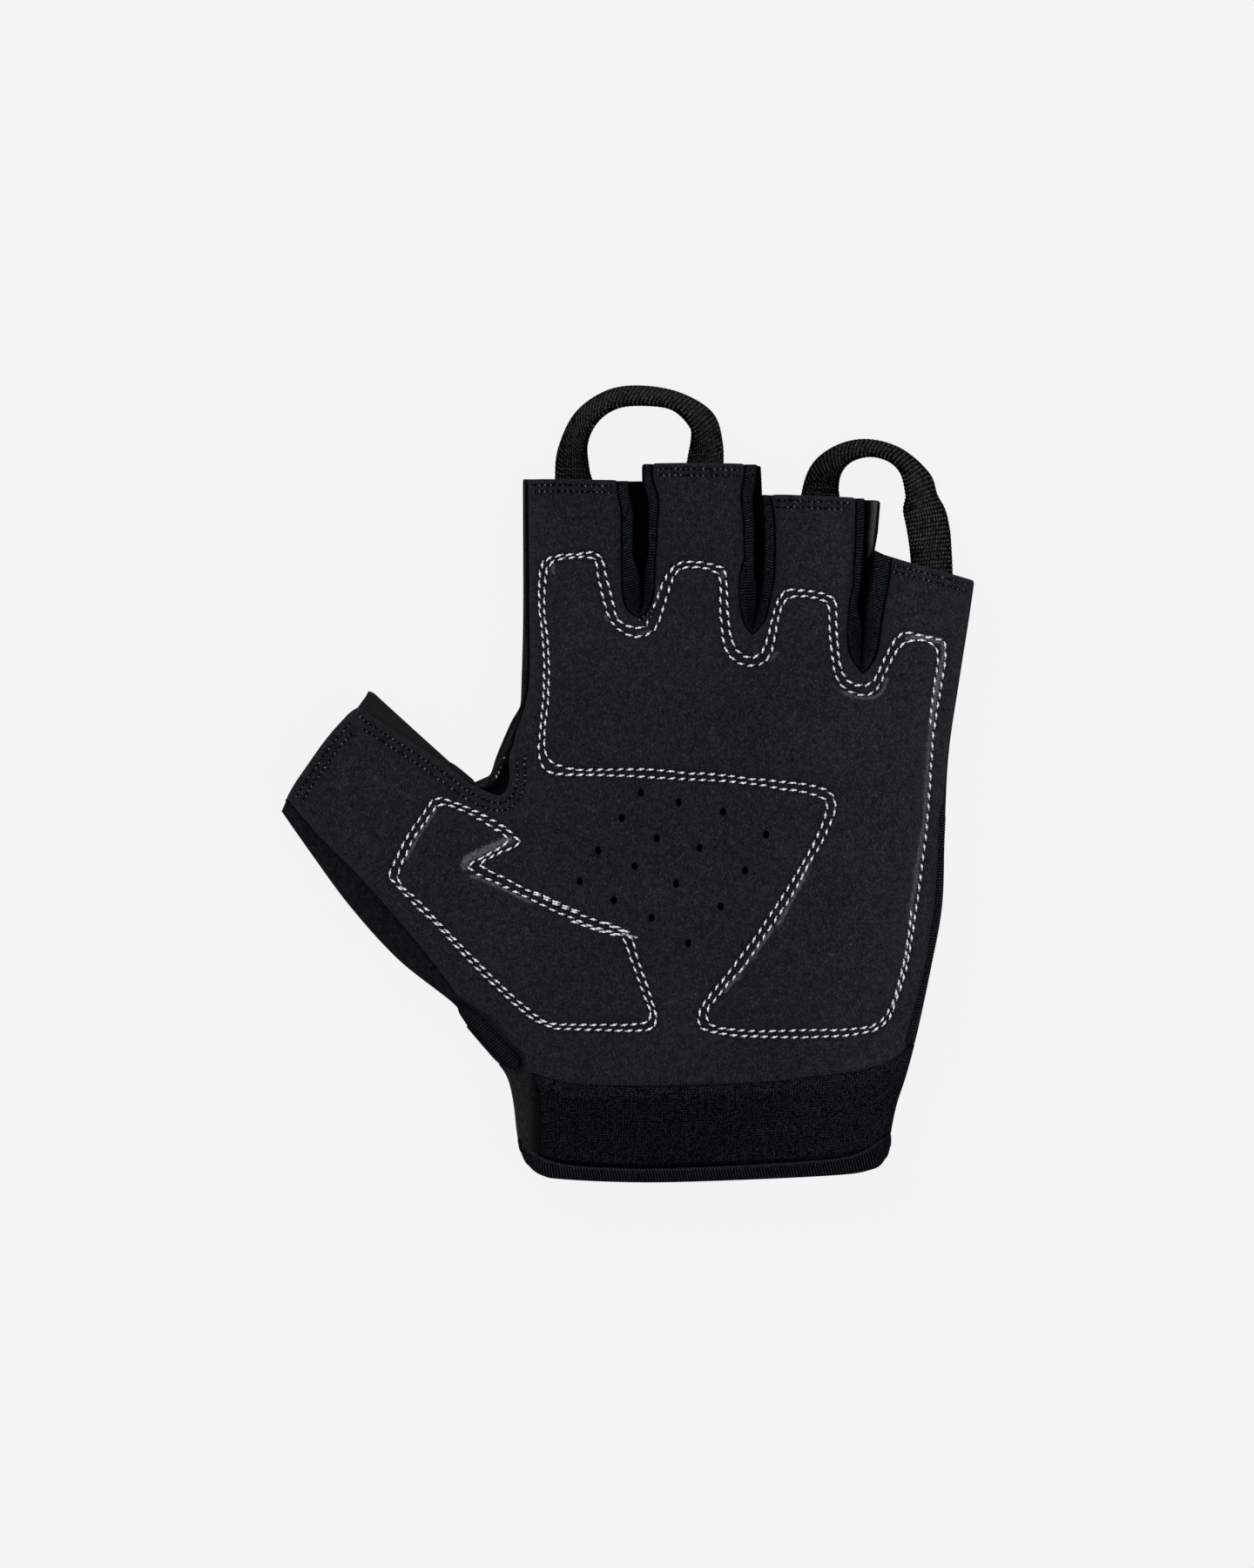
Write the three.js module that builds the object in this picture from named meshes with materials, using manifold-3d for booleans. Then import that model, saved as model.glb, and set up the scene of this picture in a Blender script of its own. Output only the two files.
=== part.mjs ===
// Half-finger cycling glove for the left hand, lying on its back with the palm up.
// Millimetres; +Y runs to the fingertips, +Z up out of the palm, thumb at -X.
// It has a suede palm, three rib-knit fourchettes between the fingers, a stretch back, a fleece
// thumb back, an elastic cuff with a ribbed binding and two webbing loops to pull the glove off.
import * as THREE from "three";
import { mergeVertices } from "three/addons/utils/BufferGeometryUtils.js";
import Module from "manifold-3d";

const wasm = await Module();
wasm.setup();

// Sizes
const GAP = 0.35; // play left between sewn pieces
const SUEDE = 1.3; // palm thickness
const KNIT = 1.2; // thickness of the back, the fourchettes and the cuff
const WEB = 1; // thickness of the web
const FOAM = 2; // pad thickness
const SIDE_TOP = 10.4; // height of the palm's edge at the outer sides
const SIDE_SLOPE = 1.15; // rise per millimetre where the palm leaves the side seam
const BACK_RIM = 6.0; // height to which the back curls up at the outer sides
const BACK_REACH = 10; // width of that curl
const SLIT_RIM = 2.4; // height to which a finger's back curls up beside its neighbour
const SLIT_REACH = 5;
const SLIT_TOP = 7.6; // height of a fourchette's face beside the slit
const SLIT_RISE = 6.6; // distance over which a finger's side rounds up to its top
const SLIT_HALF = 0.4; // half of the slit between two fingers
const PAD_LIFT = 1.1; // how far a pad lifts the palm
const THUMB_CROWN = 16.6;
const HOLE_RADIUS = 0.85; // air holes in the palm
const BINDING_SWELL = 0.5; // binding thicker than the cuff
const ROLL_SWELL = 1.2;
const TAPE = 1.3;
const PAD_INSET = 1.4; // foam edge inside the stitching
const PAD_CELL = 6.5;
const PAD_PLAY = 1.15; // foam to suede, so that both faceted faces stay clear
const SEAM_PLAY = 0.55; // between that fold and the suede, both faceted
const SEAM_WIDTH = 1.7; // folded seam allowance along the outer sides

// Height of the empty glove along its length: y, crown
const CROWN = [
  [75, 15.2],
  [50, 15.8],
  [25, 18.2],
  [0, 20.2],
  [-25, 20.4],
  [-50, 18.0],
  [-68, 14.8],
  [-92, 13.6],
];

// Outer outline, seen from above, from the index hem round to the little finger: x, y
const INDEX_SIDE = [
  [-23.7, 69.8],
  [-23.6, 52],
  [-23.6, 34],
  [-24.4, 17],
  [-27.2, 11],
  [-30.5, 3.9],
  [-33.2, 0.6],
  [-35.4, -0.1],
];
const THUMB_TOP = [
  [-35.4, -0.1],
  [-41.1, 4.9],
  [-50, 12.9],
  [-57.5, 19.3],
  [-60.5, 20.4],
  [-63.3, 17.1],
];
const THUMB_MOUTH = [
  [-63.3, 17.1],
  [-69.3, 9.9],
  [-74.9, 1.7],
  [-79.6, -6.1],
];
const THUMB_LOW = [
  [-79.6, -6.1],
  [-72.4, -16],
  [-63.5, -28.1],
  [-52.5, -40.2],
  [-40.1, -50.1],
  [-36.2, -56.6],
];
const WRIST_LEFT = [
  [-36.2, -56.6],
  [-30.6, -63],
  [-27.4, -67.3],
  [-25.9, -73],
  [-25, -80.5],
  [-24, -85.2],
  [-22.7, -87.7],
];
const PINKY_SIDE = [
  [79.7, 46.5],
  [78.3, 36.9],
  [76.1, 22.9],
  [73.8, 7],
  [72.9, -10],
  [72.3, -28],
  [69.6, -43],
  [67.2, -54.5],
  [64.2, -66.2],
  [61.7, -74],
  [60.2, -81.5],
  [59.7, -86.1],
];
const CUFF_MOUTH = [
  [-22.7, -87.7],
  [-15.9, -90.6],
  [-3.9, -91.5],
  [10.1, -91.6],
  [32, -90.8],
  [50, -89.4],
  [57.2, -88],
  [59.7, -86.1],
];
// Seam between palm and cuff, and the top line of the binding
const CUFF_SEAM = [
  [-27.9, -66.1],
  [-21.4, -67.4],
  [-10, -69.4],
  [10.2, -69.5],
  [31.2, -68.7],
  [48.7, -67],
  [58.5, -64.9],
  [64.9, -62.8],
];
const BINDING_TOP = [
  [-25, -80.9],
  [-22.4, -84],
  [-15.8, -87],
  [-3.9, -88.1],
  [10.2, -88.2],
  [38.2, -86.8],
  [52.3, -85],
  [60.4, -80.1],
];

// Slits between neighbouring fingers, from the fingertips to the crotch: x, y
const SLITS = {
  index_middle: [
    [3.6, 74],
    [3.7, 58],
    [3.4, 43],
  ],
  middle_ring: [
    [30.7, 74],
    [31.3, 58],
    [30.9, 48],
    [29.7, 40],
  ],
  ring_pinky: [
    [57.3, 66],
    [56.3, 50],
    [55, 42],
    [54.1, 31],
  ],
};
// Suede edge round each crotch: down the side of one finger, then up the next: x, y
const CROTCHES = {
  index_middle: {
    down: [
      [-2.3, 69.6],
      [-1.9, 60],
      [-1.7, 47],
      [-0.8, 40.9],
      [2.4, 37.8],
    ],
    up: [
      [2.4, 37.8],
      [5.3, 40.6],
      [6.5, 47],
      [7, 59],
      [7.4, 66],
      [6.5, 73.4],
    ],
  },
  middle_ring: {
    down: [
      [26.4, 73.2],
      [26.2, 65],
      [26.9, 55],
      [25.6, 45],
      [26.4, 37.6],
      [28.8, 33.7],
    ],
    up: [
      [28.8, 33.7],
      [32, 39],
      [33.5, 47.5],
      [34, 55],
      [33.3, 66.2],
    ],
  },
  ring_pinky: {
    down: [
      [52.2, 65.4],
      [51.9, 54],
      [50.7, 40],
      [50.8, 30.4],
      [54, 24.9],
    ],
    up: [
      [54, 24.9],
      [57.6, 30],
      [59, 40],
      [60.5, 46.5],
      [60.9, 51.4],
    ],
  },
};
// Suede edges of the hand: index side, round the thumb crotch, thumb top, thumb side: x, y
const SUEDE_INDEX = [
  [-22.7, 69.7],
  [-22.5, 52],
  [-22.4, 38.4],
];
const SUEDE_WEB = [
  [-22.4, 38.4],
  [-22.7, 26],
  [-23.9, 16.9],
  [-26.2, 8.1],
  [-26.9, 3],
  [-28.6, -3],
];
const SUEDE_THUMB_TOP = [
  [-28.6, -3],
  [-35.2, -0.6],
  [-41.7, 4.2],
  [-49.3, 9.3],
  [-58.1, 15],
  [-63.9, 15.9],
];
const SUEDE_THUMB_LOW = [
  [-77.9, -3.2],
  [-69.9, -12.5],
  [-60.5, -21.9],
  [-48.7, -35.4],
  [-41, -45.4],
  [-38.4, -49.6],
  [-31.1, -53.5],
  [-25.9, -60],
  [-24.5, -65],
];
const SUEDE_WRIST = [
  [-24.5, -65],
  [-18, -67.6],
  [-8, -69.1],
  [10.2, -69.1],
  [31.2, -68.3],
  [48.7, -66.6],
  [63.6, -62.5],
];
const SUEDE_RIGHT = [
  [79.3, 46.6],
  [77.3, 33],
  [75.6, 22],
  [73.4, 7],
  [72.3, -7],
  [71.3, -25],
  [69, -41.6],
  [66, -53],
  [63.6, -62.5],
];
const FINGERTIP_HEMS = {
  index: [-22.7, 69.7, -2.3, 69.6],
  middle: [6.5, 73.4, 26.4, 73.2],
  ring: [33.3, 66.2, 52.2, 65.4],
  pinky: [60.9, 51.4, 79.3, 46.6],
};

// Seam between the back and the fleece thumb back, hidden underneath: x, y
const THUMB_SEAM = [
  [-35.4, -0.1],
  [-33.4, -28],
  [-36.6, -56],
];

// Pad outlines, midway between the two rows of stitches: x, y
const PALM_PAD = [
  [-18.6, 51.2],
  [-6.8, 52.2],
  [-3.2, 38.5],
  [-1, 35],
  [5, 34.6],
  [7.4, 39.8],
  [9, 46.8],
  [11.8, 50.4],
  [22.4, 49.2],
  [22.8, 35],
  [25.4, 28.2],
  [32, 27.8],
  [35.6, 42],
  [47.4, 43.2],
  [48.2, 28.6],
  [51, 21.8],
  [57.6, 21.8],
  [62.8, 33.6],
  [72.4, 31.8],
  [71, 16],
  [68.6, -10],
  [64.6, -38],
  [60.4, -54.4],
  [55, -57],
  [30, -57.4],
  [16.8, -55],
  [22, -45.6],
  [35, -25],
  [45.4, -6.4],
  [44, -2.6],
  [20, 1.2],
  [-14, 2.4],
  [-19, 6],
  [-17.8, 30],
];
const THUMB_PAD = [
  [-43.4, -3.8],
  [-33, -8],
  [-25.4, -13.6],
  [-35.4, -18.4],
  [-23, -24.4],
  [-3, -34],
  [6, -55],
  [-18.6, -55.8],
  [-53, -22.4],
  [-50, -13.6],
];
const AIR_HOLES = [
  [3.2, -2.1],
  [11.8, -4.3],
  [22, -6.5],
  [-1.2, -7.9],
  [6.8, -12.5],
  [16.6, -14.7],
  [31.8, -11.7],
  [-6.6, -15.3],
  [1.8, -18.9],
  [11.2, -22.9],
  [27, -19.9],
  [-10.8, -22.3],
  [-3, -26.7],
  [5.6, -30.7],
  [21.4, -28.1],
  [14, -36.5],
];

// Pull loops: outer edge and inner edge of the tape, and the heights of both: x, y, z
const LOOPS = {
  index_middle: {
    outer: [
      [-16.4, 62, 3],
      [-16.4, 70.1, 3],
      [-15.6, 77.3, 1.6],
      [-11.6, 85.4, 1.2],
      [-4.6, 90.2, 1.2],
      [3.4, 91.3, 1.2],
      [12.4, 89.6, 1.2],
      [19.4, 85.4, 1.2],
      [21.8, 78.6, 1.6],
      [21.9, 70.6, 2.2],
      [21.8, 64, 2.4],
    ],
    inner: [
      [-6.8, 62, 2.6],
      [-8.2, 70.1, 3.2],
      [-9.7, 77.5, 8.2],
      [-7.2, 83.5, 9.4],
      [-2.2, 86.6, 9.6],
      [4.4, 87.2, 9.6],
      [10.6, 86.2, 9.6],
      [14.7, 82.6, 9.2],
      [15.3, 79, 8.6],
      [13.6, 72.5, 4],
      [12.5, 64, 2.5],
    ],
  },
  ring_pinky: {
    outer: [
      [40.2, 58, 2.4],
      [40.3, 65.6, 2.2],
      [42.8, 73.2, 1.6],
      [48.4, 77.8, 1.2],
      [55.6, 79.2, 1.2],
      [63.4, 77, 1.2],
      [69.6, 71.5, 1.4],
      [72.8, 64, 2],
      [74.6, 55, 3.6],
      [74.9, 48.6, 5.6],
      [75, 41, 6.2],
    ],
    inner: [
      [49.4, 58, 2.5],
      [48.9, 65.8, 3],
      [48.8, 71, 7.2],
      [51.2, 74.4, 9],
      [55.8, 75.8, 9.4],
      [60.6, 74.6, 9.4],
      [63.8, 70.6, 8.6],
      [64, 64, 6.6],
      [64.6, 57, 5],
      [65.8, 49.6, 3.2],
      [66.2, 41, 2.6],
    ],
  },
};

const material = (color, roughness) =>
  new THREE.MeshStandardMaterial({ color, roughness, metalness: 0 });
const SUEDE_CLOTH = material(0x232328, 0.95);
const STRETCH = material(0x131316, 0.8);
const RIB = material(0x15181a, 0.9);
const FLEECE = material(0x141619, 1);
const ELASTIC = material(0x121216, 0.85);
const WEBBING = material(0x1c1b1b, 0.7);
const PAD_FOAM = material(0x2b2b2b, 0.9);

const glove = new THREE.Group();
glove.name = "glove";
const add = (name, geometry, paint) => {
  const mesh = new THREE.Mesh(geometry, paint);
  mesh.name = name;
  glove.add(mesh);
};

// Curves
const flat = (rows) => rows.map(([x, y]) => new THREE.Vector2(x, y));
// Points evenly spaced along the smooth curve through the rows of a table.
const along = (rows, count) => new THREE.SplineCurve(flat(rows)).getSpacedPoints(count);
// Points on that curve at the given shares of its length.
function at(rows, shares) {
  const curve = new THREE.SplineCurve(flat(rows));
  return shares.map((share) => curve.getPointAt(share));
}
// The same line moved sideways, to its left as it runs.
function shifted(line, distance) {
  const closed = line[0].distanceTo(line[line.length - 1]) < 1e-6;
  return line.map((p, i) => {
    const before = line[i - 1] ?? (closed ? line[line.length - 2] : p);
    const after = line[i + 1] ?? (closed ? line[1] : p);
    const run = after.clone().sub(before).normalize();
    return new THREE.Vector2(p.x - run.y * distance, p.y + run.x * distance);
  });
}
const mix = (a, b, t) => a + (b - a) * t;
const between = (a, b, t) => new THREE.Vector2(mix(a.x, b.x, t), mix(a.y, b.y, t));
const smooth = THREE.MathUtils.smoothstep;
// Shares from 0 to 1, closer together at both ends.
const eased = (count) =>
  Array.from({ length: count + 1 }, (_, i) => 0.5 - 0.5 * Math.cos((Math.PI * i) / count));

const OUTER_SIDES = [INDEX_SIDE, THUMB_TOP, THUMB_LOW, WRIST_LEFT, PINKY_SIDE].map((rows) =>
  along(rows, 48),
);
const SLIT_LINES = Object.fromEntries(
  Object.entries(SLITS).map(([name, rows]) => [name, along(rows, 16)]),
);
const ALL_SLITS = Object.values(SLIT_LINES);

// Distance from a point to the nearest of several lines.
function away(x, y, lines) {
  let best = Infinity;
  for (const line of lines) {
    for (let i = 1; i < line.length; i += 1) {
      const a = line[i - 1];
      const b = line[i];
      const dx = b.x - a.x;
      const dy = b.y - a.y;
      const share = ((x - a.x) * dx + (y - a.y) * dy) / (dx * dx + dy * dy || 1);
      const t = Math.min(1, Math.max(0, share));
      best = Math.min(best, Math.hypot(x - a.x - dx * t, y - a.y - dy * t));
    }
  }
  return best;
}

function insideOf(x, y, ring) {
  let inside = false;
  for (let i = 0, j = ring.length - 1; i < ring.length; j = i, i += 1) {
    const crosses = ring[i].y > y !== ring[j].y > y;
    const at = ((ring[j].x - ring[i].x) * (y - ring[i].y)) / (ring[j].y - ring[i].y) + ring[i].x;
    if (crosses && x < at) inside = !inside;
  }
  return inside;
}

// Heights
const PAD_RINGS = [PALM_PAD, THUMB_PAD].map(flat);
const PAD_EDGES = PAD_RINGS.map((ring) => [...ring, ring[0]]);

function crown(x, y) {
  let height = y > CROWN[0][0] ? CROWN[0][1] : CROWN[CROWN.length - 1][1];
  for (let i = 1; i < CROWN.length; i += 1) {
    const [high, top] = CROWN[i - 1];
    const [low, base] = CROWN[i];
    if (y <= high && y >= low) height = mix(base, top, smooth(y, low, high));
  }
  return mix(Math.min(height, THUMB_CROWN), height, smooth(x, -42, -14));
}

// 0 at an edge, 1 at the given reach, level there.
const round = (distance, reach) => 1 - (1 - Math.min(distance / reach, 1)) ** 2;

// Height and steepness of the palm side's outer face.
function palmShape(x, y) {
  const top = crown(x, y);
  const side = away(x, y, OUTER_SIDES);
  const reach = (2 * (top - SIDE_TOP)) / SIDE_SLOPE;
  const slit = Math.max(0, away(x, y, ALL_SLITS) - SLIT_HALF);
  const fromSide = SIDE_TOP + (top - SIDE_TOP) * round(side, reach);
  const fromSlit = SLIT_TOP + (top - SLIT_TOP) * round(slit, SLIT_RISE);
  const sideSlope = SIDE_SLOPE * Math.max(0, 1 - side / reach);
  const slitSlope = ((2 * (top - SLIT_TOP)) / SLIT_RISE) * Math.max(0, 1 - slit / SLIT_RISE);
  let lift = 0;
  PAD_RINGS.forEach((ring, i) => {
    if (insideOf(x, y, ring)) lift = PAD_LIFT * smooth(away(x, y, [PAD_EDGES[i]]), 0, 4);
  });
  const z = Math.min(fromSide, fromSlit) + lift;
  return { z, slope: fromSide < fromSlit ? sideSlope : slitSlope };
}
const palmTop = (x, y) => palmShape(x, y).z;
// Inner face: a wall of even thickness measures more upright where it is steep.
function palmBase(x, y, thick) {
  const { z, slope } = palmShape(x, y);
  return z - thick * Math.hypot(1, slope);
}

// Outer face of the back, flat on the table and curling up at its edges.
function backBase(x, y) {
  const side = away(x, y, OUTER_SIDES);
  const slit = Math.max(0, away(x, y, ALL_SLITS) - SLIT_HALF);
  const fromSide = BACK_RIM * (1 - round(side, BACK_REACH));
  const fromSlit = SLIT_RIM * (1 - round(slit, SLIT_REACH));
  return Math.max(fromSide, fromSlit);
}

// Inner face of the back; beside the outer seams it thickens to the folded seam allowance.
function backTop(x, y, seamWidth) {
  const side = away(x, y, OUTER_SIDES);
  const slope = ((2 * BACK_RIM) / BACK_REACH) * Math.max(0, 1 - side / BACK_REACH);
  const cloth = backBase(x, y) + KNIT * Math.hypot(1, slope);
  if (side > seamWidth + 1.5) return cloth;
  const seam = palmBase(x, y, SUEDE) - SEAM_PLAY;
  return mix(seam, cloth, smooth(side, seamWidth, seamWidth + 1.4));
}

// Solids
// Cells of a grid of plan points: rows of equal length.
function cellsOf(rows) {
  const cells = [];
  for (let j = 1; j < rows.length; j += 1) {
    for (let i = 1; i < rows[j].length; i += 1) {
      cells.push([rows[j - 1][i - 1], rows[j - 1][i], rows[j][i], rows[j][i - 1]]);
    }
  }
  return cells;
}

// Rows of plan points between two side curves.
function rung(left, right, shares) {
  return left.map((a, j) => shares.map((t) => between(a, right[j], t)));
}

// Each point's share of the way across, from the first to the last.
const sharesOf = (row) =>
  row.map((p) => (p.x - row[0].x) / (row[row.length - 1].x - row[0].x));

// Rows of plan points inside four curves: first row, last row and both ends of the rows.
function coons(first, last, left, right) {
  const count = first.length - 1;
  const shares = sharesOf(first);
  return left.map((start, j) => {
    const v = j / (left.length - 1);
    return first.map((a, i) => {
      if (j === 0) return a;
      if (i === 0) return start;
      if (i === count) return right[j];
      if (j === left.length - 1) return last[i];
      const u = shares[i];
      const upright = between(a, last[i], v);
      const across = between(start, right[j], u);
      const low = between(first[0], first[count], u);
      const high = between(last[0], last[count], u);
      return upright.add(across).sub(between(low, high, v));
    });
  });
}

// Closed solid over plan cells, between a lower and an upper height.
function sheet(cells, lower, upper) {
  const seen = new Map();
  const plan = [];
  const idOf = (p) => {
    const key = `${Math.round(p.x * 500)},${Math.round(p.y * 500)}`;
    if (!seen.has(key)) {
      seen.set(key, plan.length);
      plan.push(p);
    }
    return seen.get(key);
  };
  const faces = [];
  const rim = new Map();
  for (const cell of cells) {
    let ids = cell.map(idOf);
    ids = ids.filter((id, k) => id !== ids[(k + 1) % ids.length]);
    if (ids.length < 3) continue;
    const area = THREE.ShapeUtils.area(ids.map((id) => plan[id]));
    if (area < 0) ids.reverse();
    for (let k = 2; k < ids.length; k += 1) faces.push([ids[0], ids[k - 1], ids[k]]);
    ids.forEach((a, k) => {
      const b = ids[(k + 1) % ids.length];
      if (!rim.delete(`${b},${a}`)) rim.set(`${a},${b}`, [a, b]);
    });
  }
  const count = plan.length;
  const position = [];
  plan.forEach((p) => position.push(p.x, p.y, upper(p.x, p.y)));
  plan.forEach((p) => position.push(p.x, p.y, lower(p.x, p.y)));
  const index = [];
  for (const [a, b, c] of faces) index.push(a, b, c, c + count, b + count, a + count);
  for (const [a, b] of rim.values()) index.push(a + count, b + count, b, a + count, b, a);
  const geometry = new THREE.BufferGeometry();
  geometry.setAttribute("position", new THREE.Float32BufferAttribute(position, 3));
  geometry.setIndex(index);
  return geometry;
}

// Cutting and joining
function solidOf(geometry) {
  const bare = geometry.clone();
  bare.deleteAttribute("normal");
  bare.deleteAttribute("uv");
  const merged = mergeVertices(bare, 1e-3);
  return new wasm.Manifold(
    new wasm.Mesh({
      numProp: 3,
      vertProperties: new Float32Array(merged.attributes.position.array),
      triVerts: new Uint32Array(merged.index.array),
    }),
  );
}
function geometryOf(solid) {
  const mesh = solid.getMesh();
  const geometry = new THREE.BufferGeometry();
  geometry.setAttribute("position", new THREE.BufferAttribute(mesh.vertProperties, 3));
  geometry.setIndex(new THREE.BufferAttribute(mesh.triVerts, 1));
  return geometry;
}
const joined = (a, b) => geometryOf(solidOf(a).add(solidOf(b)));
const cut = (a, b) => geometryOf(solidOf(a).subtract(solidOf(b)));

// Palm
const ROWS_FINGER = 7;
const COLUMNS_FINGER = eased(6);
const BACK_COLUMNS = {
  index: [0, 0.06, 0.12, 0.32, 0.68, 0.9, 1],
  middle: [0, 0.1, 0.32, 0.68, 0.9, 1],
  ring: [0, 0.1, 0.32, 0.68, 0.9, 1],
  pinky: [0, 0.1, 0.32, 0.66, 0.86, 0.93, 1],
};
const ROWS_WEB = 6;
const ROWS_HAND = 9;

const fingerLeft = {
  index: along(SUEDE_INDEX, ROWS_FINGER),
  middle: along(CROTCHES.index_middle.up, ROWS_FINGER).reverse(),
  ring: along(CROTCHES.middle_ring.up, ROWS_FINGER).reverse(),
  pinky: along(CROTCHES.ring_pinky.up, ROWS_FINGER).reverse(),
};
const rightSuede = along(SUEDE_RIGHT, 48);
const fingerRight = {
  index: along(CROTCHES.index_middle.down, ROWS_FINGER),
  middle: along(CROTCHES.middle_ring.down, ROWS_FINGER),
  ring: along(CROTCHES.ring_pinky.down, ROWS_FINGER),
  pinky: along(SUEDE_RIGHT.slice(0, 3), ROWS_FINGER),
};
const palmCells = [];
const knuckleRow = [];
for (const finger of Object.keys(FINGERTIP_HEMS)) {
  const rows = rung(fingerLeft[finger], fingerRight[finger], COLUMNS_FINGER);
  palmCells.push(...cellsOf(rows));
  knuckleRow.push(...rows[rows.length - 1].slice(finger === "index" ? 0 : 1));
}
const thumbRoot = Array.from({ length: ROWS_HAND + 1 }, (_, j) =>
  between(new THREE.Vector2(-28.6, -3), new THREE.Vector2(-24.5, -65), j / ROWS_HAND),
);
const handLeft = [...along(SUEDE_WEB, ROWS_WEB), ...thumbRoot.slice(1)];
const handRight = along(SUEDE_RIGHT.slice(2), handLeft.length - 1);
const wristRow = at(SUEDE_WRIST, sharesOf(knuckleRow));
palmCells.push(...cellsOf(coons(knuckleRow, wristRow, handLeft, handRight)));
const thumbTop = along(SUEDE_THUMB_TOP, 10);
const thumbSide = along(SUEDE_THUMB_LOW.slice(0, 6), 6);
const wristSide = along(SUEDE_THUMB_LOW.slice(5), 4);
const thumbLow = [...thumbSide, ...wristSide.slice(1)].reverse();
const thumbRows = thumbTop.map((a, j) =>
  thumbRoot.map((root, i) => {
    if (j === 0) return root;
    const t = i / ROWS_HAND;
    const fan = between(thumbTop[0], thumbLow[0], t);
    const bend = root.clone().sub(fan).multiplyScalar(1 - j / 10);
    return between(a, thumbLow[j], t).add(bend);
  }),
);
palmCells.push(...cellsOf(thumbRows));
const suedeBase = (x, y) => palmBase(x, y, SUEDE);
const knitBase = (x, y) => palmBase(x, y, KNIT);
const drills = AIR_HOLES.map(([x, y]) => {
  const drill = new THREE.CylinderGeometry(HOLE_RADIUS, HOLE_RADIUS, 12, 8);
  drill.rotateX(Math.PI / 2);
  return drill.translate(x, y, 20);
});
const palm = drills.reduce(cut, sheet(palmCells, suedeBase, palmTop));
add("palm_panel", palm, SUEDE_CLOTH);

// Pads, sewn to the underside of the suede
function pad(ring) {
  const shape = new THREE.Shape(shifted([...flat(ring), flat(ring)[0]], -PAD_INSET));
  const prism = new THREE.ExtrudeGeometry(shape, { depth: 40, bevelEnabled: false, steps: 1 });
  const box = new THREE.Box2().setFromPoints(flat(ring));
  const size = box.getSize(new THREE.Vector2());
  const across = Math.ceil(size.x / PAD_CELL);
  const up = Math.ceil(size.y / PAD_CELL);
  const rows = Array.from({ length: up + 1 }, (_, j) =>
    Array.from(
      { length: across + 1 },
      (_, i) => new THREE.Vector2(box.min.x + i * PAD_CELL, box.min.y + j * PAD_CELL),
    ),
  );
  const top = (x, y) => suedeBase(x, y) - PAD_PLAY;
  const slab = sheet(cellsOf(rows), (x, y) => top(x, y) - FOAM, top);
  return geometryOf(solidOf(slab).intersect(solidOf(prism)));
}
add("palm_pad", pad(PALM_PAD), PAD_FOAM);
add("thumb_pad", pad(THUMB_PAD), PAD_FOAM);

// Fourchettes: from the suede edge down into the slit, round the crotch and up again
function slitSide(name, sign, top, count) {
  const line = SLIT_LINES[name];
  const end = line[line.length - 1];
  return Array.from({ length: count + 1 }, (_, j) => {
    const y = mix(top, end.y, j / count);
    const k = Math.max(1, line.findIndex((p) => p.y <= y + 1e-6));
    const share = (line[k - 1].y - y) / (line[k - 1].y - line[k].y || 1);
    const half = SLIT_HALF * Math.min(1, (y - end.y) / 4);
    return new THREE.Vector2(between(line[k - 1], line[k], share).x + sign * half, y);
  });
}
function fourchette(name) {
  const { down, up } = CROTCHES[name];
  const hemLeft = down[0][1];
  const hemRight = up[up.length - 1][1];
  const suede = shifted([...along(down, 7), ...along(up, 7).slice(1)], GAP);
  const left = slitSide(name, -1, hemLeft, 5);
  const right = slitSide(name, 1, hemRight, 5).reverse();
  const slit = [...left, left[5], left[5], left[5], ...right];
  const rows = rung(suede, slit, [0, 0.35, 0.7, 1]);
  return sheet(cellsOf(rows), knitBase, palmTop);
}
for (const name of Object.keys(SLITS)) add(`fourchette_${name}`, fourchette(name), RIB);

// Back of the hand and fingers
const ROWS_BACK = 4;
const backLeft = {
  index: along([[-23.7, 69.8], [-23.6, 52], [-23.6, 43]], ROWS_BACK),
  middle: slitSide("index_middle", 1, 73.3, ROWS_BACK),
  ring: slitSide("middle_ring", 1, 66.4, ROWS_BACK),
  pinky: slitSide("ring_pinky", 1, 52.7, ROWS_BACK),
};
const backRight = {
  index: slitSide("index_middle", -1, 69.5, ROWS_BACK),
  middle: slitSide("middle_ring", -1, 73.1, ROWS_BACK),
  ring: slitSide("ring_pinky", -1, 65, ROWS_BACK),
  pinky: along([[79.7, 46.5], [78.8, 40.5], [77.9, 34.3]], ROWS_BACK),
};
const backCells = [];
const backKnuckles = [];
for (const finger of Object.keys(backLeft)) {
  const rows = rung(backLeft[finger], backRight[finger], BACK_COLUMNS[finger]);
  backCells.push(...cellsOf(rows));
  backKnuckles.push(...rows[ROWS_BACK].slice(finger === "index" ? 0 : 1));
}
const backOuter = [
  ...along([[-23.6, 43], [-23.6, 34], [-24.4, 17], [-27.2, 11], [-30.5, 3.9], [-35.4, -0.1]], 6),
  ...along(THUMB_SEAM, 5).slice(1),
  ...along([[-36.6, -56], [-30.6, -63], [-27.9, -65.75]], 2).slice(1),
];
const backInner = along([[77.9, 34.3], ...PINKY_SIDE.slice(2, 8), [65.2, -62.4]], 13);
const backWrist = at(CUFF_SEAM, sharesOf(backKnuckles));
backWrist.forEach((p) => p.setY(p.y + GAP));
backWrist[0].copy(backOuter[13]);
backWrist[backWrist.length - 1].copy(backInner[13]);
backCells.push(...cellsOf(coons(backKnuckles, backWrist, backOuter, backInner)));
add("back_panel", sheet(backCells, backBase, (x, y) => backTop(x, y, SEAM_WIDTH)), STRETCH);

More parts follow.
